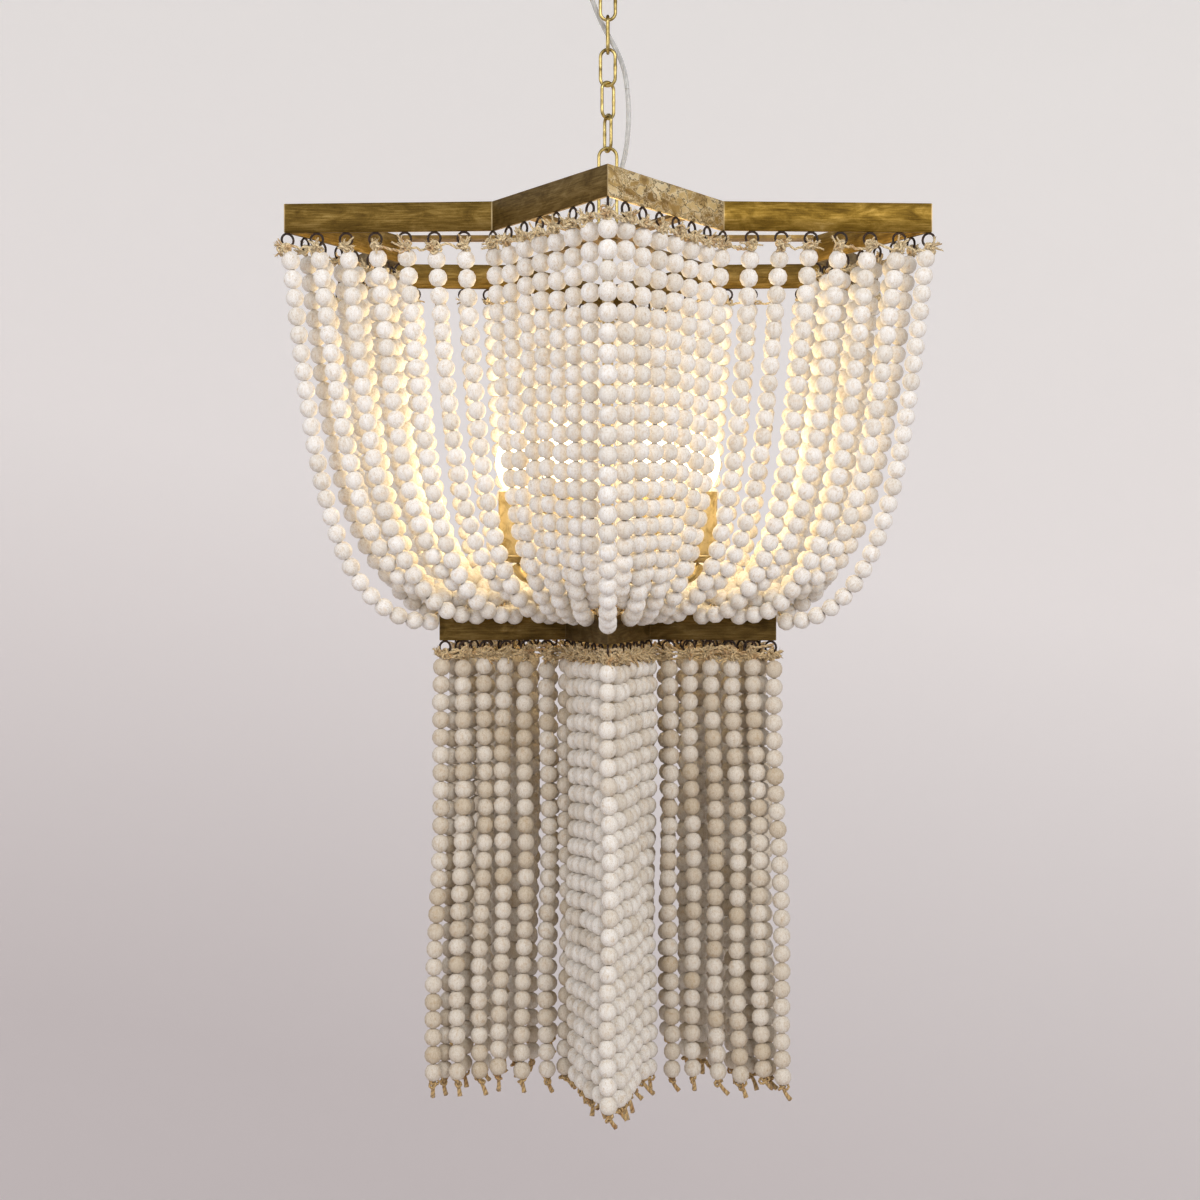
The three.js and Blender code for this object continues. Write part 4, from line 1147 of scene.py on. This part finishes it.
def tail_ends(beads, chosen):
    """A knot under each strand's last bead, and a tail that leans and flares."""
    last = beads.last & chosen[beads.strand]
    drop = beads.pitches[last] / 2 + TAIL_KNOT_DROP
    starts = beads.centres[last] + beads.ways[last] * drop[:, None]
    ways = unit(-UP + RIGHT * TAIL_LEAN + chance.normal(0, TAIL_SPREAD, starts.shape))
    lengths = TAIL_LENGTH * chance.uniform(*TAIL_LENGTH_SHARES, len(starts))
    return [knots(starts), *ends(starts, ways, lengths, TAIL_RADII, TAIL_CURL, TAIL_FIBRES)]


def over_bar(beads, chosen):
    """Twine from each strand's last bead over the lower bar's top edge and down inside it."""
    last = beads.last & chosen[beads.strand]
    bar, out = end_spots.places[chosen], end_spots.outs[chosen]
    inner = bar - out * OVER_BAR_INSIDE
    paths = np.stack([
        beads.centres[last],
        bar + out * OVER_BAR_OUTSIDE,
        bar + UP * OVER_BAR_HEIGHT,
        inner + (out + UP) * OVER_BAR_HEIGHT,
        inner - UP * OVER_BAR_HEIGHT,
        inner - UP * OVER_BAR_DROP,
    ], axis=1)
    return tubes(paths, TWINE_RADIUS, TWINE_SIDES, np.cross(out, UP))


def ties(beads, spots, knot_centres, chosen, frays, fray_radius):
    """The wraps, knots and frayed ends at the chosen spots, and their strands' threads."""
    depth = beads.pitches[beads.first] / 2 - HOLE_DEPTH
    holes = beads.centres[beads.first] - beads.ways[beads.first] * depth[:, None]
    tied = np.repeat(knot_centres[chosen], KNOTS, axis=0)
    starts = np.repeat(knot_centres[chosen], frays, axis=0)
    ways = np.repeat(spots.outs[chosen], frays, axis=0) + UP * FRAY_LIFT
    ways = unit(ways + chance.normal(0, FRAY_SPREAD, starts.shape))
    lengths = FRAY_LENGTH * chance.uniform(*FRAY_LENGTH_SHARES, len(starts))
    radii = np.linspace(fray_radius, fray_radius / 2, FRAY_STEPS)
    return [
        wraps(spots.feet[chosen], spots.planes[chosen], holes[chosen]),
        knots(tied + chance.uniform(-1, 1, tied.shape) * KNOT_SPREAD),
        *ends(starts, ways, lengths, radii, FRAY_CURL, FRAY_FIBRES),
        threads(beads, spots, chosen),
    ]


def upper_bands(knot_centres, here, after, number):
    """Twine that runs from knot to knot: all along the front and back points, and here and there on the
    others."""
    made = []
    for _ in range(UPPER_BANDS):
        kept = chance.uniform(size=len(here)) < (1 if number in PROUD_POINTS else UPPER_BAND_CHANCE)
        rise = UP * UPPER_BAND_SPREAD * chance.uniform(0, 1, (len(here), 1))
        fall = UP * UPPER_BAND_SPREAD * chance.uniform(0, 1, (len(here), 1))
        if kept.any():
            made.append(bands((knot_centres[here] + rise)[kept], (knot_centres[after] - fall)[kept]))
    return made


def lower_bands(spots, here, after):
    """A dense band: twine from each spot to the next at many heights."""
    made = []
    for _ in range(LOWER_BANDS):
        heights = chance.uniform(LOWER_BAND_HIGH, LOWER_BAND_LOW, (2, len(here), 1))
        places = spots.places + spots.outs * LOWER_BAND_STANDOFF
        made.append(bands(places[here] - UP * heights[0], places[after] - UP * heights[1]))
    return made


def add_twine(name, parts):
    """One piece from tubes and their twists, with how much darker the twine is by height."""
    patch = joined([part[0] for part in parts])
    twist = np.concatenate([part[1] for part in parts])
    attributes = {"twist": twist, "darkening": np.interp(patch[0][:, 2], DARKENING_HEIGHTS, DARKENING_SHARES)}
    add_piece(name, patch, twine, "fixture", attributes=attributes, sharp=False)


def add_curtain(label, spots, beads, tones):
    """The rings of one star, and the beads and the twine of each of its points. The tones are those of
    the front and back points, and those of the others; on the lower star they are painted shade, darker
    for the others."""
    add_rings(f"rings_{label}", spots)
    count = len(spots.places)
    knot_centres = spots.feet + spots.outs * KNOT_STANDOFF - UP * KNOT_DROP
    for number in range(STAR_POINTS):
        chosen = spots.point == number
        node = f"{label}_strands_{number + 1}"
        own_tones = tones[0 if number in PROUD_POINTS else 1]
        add_beads(f"beads_{label}_{number + 1}", node, beads, chosen[beads.strand], own_tones)
        here = np.flatnonzero(chosen)
        after = (here + 1) % count
        if label == "upper":
            parts = ties(beads, spots, knot_centres, chosen, UPPER_FRAYS, UPPER_FRAY_RADIUS)
            parts += [*upper_bands(knot_centres, here, after, number), over_bar(beads, chosen)]
        else:
            parts = ties(beads, spots, knot_centres, chosen, LOWER_FRAYS, LOWER_FRAY_RADIUS)
            parts += [*lower_bands(spots, here, after), *tail_ends(beads, chosen)]
        add_twine(f"twine_{label}_{number + 1}", parts)


upper_beads = Beads(upper_strands())
upper_beads.settle()
upper_beads.find_ways()
lower_beads = Beads(lower_strands())
lower_beads.find_ways()
add_curtain("upper", upper_spots, upper_beads, (UPPER_TONES, UPPER_TONES))
# Painted shade: the lower beads get darker tones, the points other than front and back darkest
add_curtain("lower", lower_spots, lower_beads, (LOWER_PROUD_SHADED_TONES, LOWER_SHADED_TONES))


# Chain, bail and collar
def add_link(node, turn):
    """An oval wire link: two half circles drawn apart, with points on the straight runs between them, and
    a slight swelling at the weld in one run. The wire is a little thicker than the model's, so that hung
    links touch."""
    low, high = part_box(node)
    turn = math.radians(turn)
    across = np.array([math.cos(turn), math.sin(turn), 0])
    bend = LINK_WIDTH / 2 - LINK_WIRE_RADIUS
    half = (LINK_LENGTH - LINK_WIDTH) / 2
    angle = np.linspace(0, math.pi, LINK_STEPS)[:, None]
    arc = bend * (np.cos(angle) * across + np.sin(angle) * UP) + UP * half
    run = UP * np.linspace(half, -half, LINK_RUN_STEPS)[1:-1, None] - across * bend
    path = np.concatenate([arc, run, -arc, -run])
    swell = 1 + WELD_SHARE * np.exp(-(np.linalg.norm(path - across * bend, axis=1) / WELD_LENGTH) ** 2)
    path = path + UP * (low.z + high.z) / 2
    radii = swell[None] * (LINK_WIRE_RADIUS + LINK_CONTACT)
    patch, _ = tubes(path[None], radii, WIRE_SIDES, np.cross(across, UP), closed=True)
    add_piece(f"brass_{node}", patch, chain_brass, "chain", [node])


for number, turn in enumerate(LINK_TURNS):
    add_link(f"chain_link_{number + 1}", turn)


def add_bail():
    """A wire arch: two upright legs, and a half circle over them."""
    low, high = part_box("bail")
    bend = BAIL_WIDTH / 2 - BAIL_WIRE_RADIUS
    spring = high.z - BAIL_WIRE_RADIUS - bend
    angle = np.linspace(0, math.pi, LINK_STEPS)[:, None]
    leg = np.linspace(low.z, spring, BAIL_LEG_STEPS)[:-1, None] * UP
    crown = UP * spring + bend * (np.cos(angle) * RIGHT + np.sin(angle) * UP)
    path = np.concatenate([leg + RIGHT * bend, crown, leg[::-1] - RIGHT * bend])
    patch, _ = tubes(path[None], BAIL_WIRE_RADIUS, WIRE_SIDES, BACK)
    add_piece("brass_bail", patch, chain_brass, "fixture", ["bail"])


def add_turned(name, node, outline, material, body, corner=SMALL_CORNER, closed=False, centre=(0, 0)):
    """A turned piece with eased corners, in the place of one of the model's."""
    patch = turned(rounded(outline, corner, closed), centre, closed)
    return add_piece(name, patch, material, body, [node])


def add_collar():
    """A grooved collar with a spigot, and the loop under it."""
    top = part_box("ceiling_crossbar")[0].z - FIT
    bottom = top - COLLAR_LENGTH
    spigot_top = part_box("collar_loop")[1].z
    groove = [bottom + share * COLLAR_LENGTH for share in COLLAR_GROOVE_SHARES]
    body = turned(rounded([
        (0, bottom),
        (COLLAR_RADIUS, bottom),
        (COLLAR_RADIUS, groove[0]),
        (COLLAR_RADIUS - COLLAR_GROOVE, groove[1]),
        (COLLAR_RADIUS - COLLAR_GROOVE, groove[2]),
        (COLLAR_RADIUS, groove[3]),
        (COLLAR_RADIUS, top),
        (COLLAR_SPIGOT_RADIUS, top),
        (COLLAR_SPIGOT_RADIUS, spigot_top),
        (0, spigot_top),
    ], SMALL_CORNER))
    angle = np.arange(2 * LINK_STEPS)[:, None] / LINK_STEPS * math.pi
    circle = LOOP_BEND_RADIUS * (np.cos(angle) * BACK + np.sin(angle) * UP)
    circle = circle + UP * (bottom + LOOP_SINK - LOOP_BEND_RADIUS)
    loop, _ = tubes(circle[None], LOOP_WIRE_RADIUS, WIRE_SIDES, RIGHT, closed=True)
    add_piece("brass_collar", joined([body, loop]), body_brass, "ceiling", ["collar_loop"])


def add_canopy_fittings():
    """The clamping ring under the canopy and the bushing beside it."""
    low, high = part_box("collar_ring")
    bore = COLLAR_RADIUS + FIT
    add_turned("brass_collar_ring", "collar_ring", [
        (bore, low.z),
        (bore + COLLAR_RING_WALL, low.z),
        (bore + COLLAR_RING_WALL, high.z),
        (bore, high.z),
    ], body_brass, "canopy", closed=True)
    low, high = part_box("cord_bushing")
    neck = BUSHING_BORE_RADIUS + BUSHING_WALL
    flange = (high.x - low.x) / 2
    add_turned("moulded_bushing", "cord_bushing", [
        (BUSHING_BORE_RADIUS, low.z),
        (flange, low.z),
        (flange, low.z + BUSHING_FLANGE_HEIGHT),
        (neck, low.z + BUSHING_FLANGE_HEIGHT),
        (neck, high.z),
        (BUSHING_BORE_RADIUS, high.z),
    ], plastic, "canopy", closed=True, centre=((low + high) / 2)[:2])


def add_middle():
    """The hub, the rod, the arm hub and the finial, all about the middle line."""
    low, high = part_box("top_hub")
    bore = CABLE_RADIUS + FIT
    add_turned("brass_top_hub", "top_hub", [
        (0, low.z),
        (high.x, low.z),
        (high.x, low.z + HUB_BASE_HEIGHT),
        (HUB_TOP_RADIUS, high.z - HUB_LIP_HEIGHT),
        (HUB_TOP_RADIUS, high.z),
        (bore, high.z),
        (bore, high.z - HUB_BORE_DEPTH),
        (0, high.z - HUB_BORE_DEPTH),
    ], body_brass, "fixture")
    low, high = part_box("centre_rod")
    add_turned("brass_rod", "centre_rod", [
        (0, low.z), (ROD_RADIUS, low.z), (ROD_RADIUS, high.z), (0, high.z),
    ], body_brass, "fixture")
    low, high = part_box("arm_hub")
    add_turned("brass_arm_hub", "arm_hub", [
        (ROD_RADIUS + FIT, low.z),
        (ARM_HUB_RADIUS, low.z),
        (ARM_HUB_RADIUS, high.z),
        (ROD_RADIUS + FIT, high.z),
    ], body_brass, "fixture", corner=SOFT_CORNER, closed=True)
    low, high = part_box("finial")
    outline = [
        (across * high.x, low.z + share * (high.z - low.z)) for across, share in FINIAL_OUTLINE_SHARES
    ]
    add_turned("brass_finial", "finial", outline, body_brass, "fixture", corner=SOFT_CORNER)


add_bail()
add_collar()
add_canopy_fittings()
add_middle()

# Candle lights
SLEEVE_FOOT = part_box("candle_sleeve_1")[0].z
SLEEVE_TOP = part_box("candle_sleeve_1")[1].z
HOLDER_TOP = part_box("lamp_holder_1")[1].z
BULB_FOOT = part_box("candle_bulb_1")[0].z
BULB_NECK = HOLDER_TOP + FIT
BULB_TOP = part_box("candle_bulb_1")[1].z
GLASS_HEIGHT = BULB_TOP - BULB_NECK


def add_arm(label, way, centre):
    """A curved tube from the arm hub, and the cup at its end."""
    start = ARM_HUB_RADIUS + FIT
    reach = start + np.array(ARM_REACH_SHARES) * (LIGHT_CIRCLE_RADIUS - start)
    rise = FRAME_TOP - ARM_DROP + np.array(ARM_RISE_SHARES) * ARM_SAG
    path = smooth_curve(reach[:, None] * way + rise[:, None] * UP, ARM_STEPS)
    arm, _ = tubes(path[None], ARM_RADIUS, WIRE_SIDES, np.cross(way, UP))
    top = SLEEVE_FOOT - FIT
    cup = turned(rounded([
        (0, top - CUP_HEIGHT),
        (CUP_STEM_RADIUS, top - CUP_HEIGHT),
        (CUP_RADIUS, top - CUP_LIP_HEIGHT),
        (CUP_RADIUS, top),
        (0, top),
    ], SOFT_CORNER), centre)
    node = f"candle_arm_{label}"
    add_piece(f"brass_arm_{label}", joined([arm, cup]), body_brass, "fixture", [node])


def add_bulb(label, centre):
    """A threaded cap, and glass turned from a smooth flame outline, with a light in it."""
    body = f"bulb_{label}"
    height = np.linspace(BULB_FOOT, BULB_NECK, BULB_THREADS * BULB_THREAD_STEPS)
    wave = (np.cos(np.arange(len(height)) / BULB_THREAD_STEPS * TURN) - 1) * BULB_THREAD / 2
    cap = [(0, BULB_FOOT), *zip(BULB_BASE_RADIUS + wave, height), (0, BULB_NECK)]
    add_piece(f"screw_cap_{label}", turned(cap, centre), body_brass, body)
    shares = smooth_curve(BULB_OUTLINE_SHARES, BULB_STEPS)
    shares[-1] = (0, 1)
    glass = shares * (BULB_RADIUS, GLASS_HEIGHT) + (0, BULB_NECK)
    patch = turned([(0, BULB_NECK), *glass], centre)
    share = (patch[0][:, 2] - BULB_NECK) / GLASS_HEIGHT
    glow = np.exp(-((share - GLOW_MIDDLE_SHARE) / GLOW_SPREAD_SHARE) ** 2)
    node = f"candle_bulb_{label}"
    bulb = add_piece(f"lit_bulb_{label}", patch, bulb_glass, body, [node], {"glow": glow})
    bulb.visible_shadow = False
    place = (*centre, BULB_NECK + GLASS_HEIGHT * GLOW_MIDDLE_SHARE)
    lamp = add_lamp(f"bulb_light_{label}", "POINT", BULB_LIGHT_POWER, BULB_LIGHT_COLOUR, place)
    lamp.data.shadow_soft_size = BULB_RADIUS


def add_light(label):
    """One arm with its cup, holder, sleeve and bulb, about the light's own upright line."""
    angle = (label - 0.5) / LIGHT_COUNT * TURN - math.pi / 2
    way = np.array([math.cos(angle), math.sin(angle), 0])
    centre = way[:2] * LIGHT_CIRCLE_RADIUS
    add_arm(label, way, centre)
    add_turned(f"brass_sleeve_{label}", f"candle_sleeve_{label}", [
        (SLEEVE_RADIUS - SLEEVE_WALL, SLEEVE_FOOT),
        (SLEEVE_RADIUS, SLEEVE_FOOT),
        (SLEEVE_RADIUS, SLEEVE_TOP),
        (SLEEVE_RADIUS - SLEEVE_WALL, SLEEVE_TOP),
    ], body_brass, "fixture", closed=True, centre=centre)
    add_turned(f"china_holder_{label}", f"lamp_holder_{label}", [
        (0, SLEEVE_FOOT),
        (HOLDER_RADIUS, SLEEVE_FOOT),
        (HOLDER_RADIUS, HOLDER_TOP),
        (BULB_BASE_RADIUS + FIT, HOLDER_TOP),
        (BULB_BASE_RADIUS + FIT, HOLDER_TOP - SOCKET_DEPTH),
        (0, HOLDER_TOP - SOCKET_DEPTH),
    ], china, "fixture", centre=centre)
    add_bulb(label, centre)


for number in range(LIGHT_COUNT):
    add_light(number + 1)


# The model's own pieces that stay in view: joined up and smooth, but for their sharp edges
def finish_node(node, material):
    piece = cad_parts[node]
    piece.data.materials.clear()
    piece.data.materials.append(material)
    piece.data.polygons.foreach_set("use_smooth", np.ones(len(piece.data.polygons), bool))
    weld = piece.modifiers.new("weld", "WELD")
    weld.merge_threshold = WELD_DISTANCE
    split = piece.modifiers.new("split", "EDGE_SPLIT")
    split.split_angle = SHARP_ANGLE


for node in ("ceiling_crossbar", "canopy", "upper_rod_nut", "lower_rod_nut"):
    finish_node(node, body_brass)
for node in ("upper_spider", "lower_spider"):
    finish_node(node, shaded_gold)


# Backdrop and studio lights
def pale_wall():
    """A plain pale grey that glows a little, with painted shade: a little darker towards the floor, and
    towards the left.
    """
    finish = Finish("pale_backdrop")
    parts = finish.node("SeparateXYZ", "Z", {"Vector": finish.place()}).node.outputs
    # Painted shade: darker lower down, and to the left
    height = finish.math("ADD", parts["Z"], finish.math("MULTIPLY", parts["X"], STAGE_SHADE_LEAN))
    share = finish.math("DIVIDE", finish.math("SUBTRACT", height, STAGE_FLOOR), STAGE_TOP - STAGE_FLOOR)
    tones = (STAGE_LOW_COLOUR, STAGE_MIDDLE_COLOUR, STAGE_HIGH_COLOUR)
    colour = finish.ramp(share, list(zip(STAGE_COLOUR_SHARES, tones)))
    return finish.set(
        Base_Color=colour, Roughness=0.95, Emission_Color=colour, Emission_Strength=STAGE_GLOW,
    )


def add_stage():
    """A wide pale bowl round everything: a flat floor that curves up into an upright wall."""
    angle = np.linspace(0, math.pi / 2, STAGE_STEPS)
    radius = STAGE_RADIUS - STAGE_BEND + STAGE_BEND * np.sin(angle)
    height = STAGE_FLOOR + STAGE_BEND - STAGE_BEND * np.cos(angle)
    outline = [(0, STAGE_FLOOR), *zip(radius, height), (STAGE_RADIUS, STAGE_TOP)]
    points, faces = turned(outline, sides=STAGE_SIDES)
    add_piece("backdrop", (points, faces[:, [1, 0, 3, 2]]), pale_wall())


def add_area(name, place, size, power, colour):
    """A square soft light that faces the middle of the beads."""
    lamp = add_lamp(name, "AREA", power, colour, place)
    lamp.data.size = size
    middle = Vector((0, 0, (FRAME_TOP + LOWER_BOTTOM) / 2))
    lamp.rotation_euler = (middle - Vector(place)).to_track_quat("-Z", "Y").to_euler()


def add_world():
    """An even pale light from all sides."""
    world = bpy.data.worlds.new("studio")
    world.use_nodes = True
    sky = world.node_tree.nodes["Background"]
    sky.inputs["Color"].default_value = (*WORLD_COLOUR, 1)
    sky.inputs["Strength"].default_value = WORLD_STRENGTH
    bpy.context.scene.world = world


add_stage()
add_world()
bpy.context.scene.view_settings.view_transform = "Standard"
add_area("key", KEY_PLACE, KEY_SIZE, KEY_POWER, KEY_COLOUR)
add_area("fill", FILL_PLACE, FILL_SIZE, FILL_POWER, FILL_COLOUR)
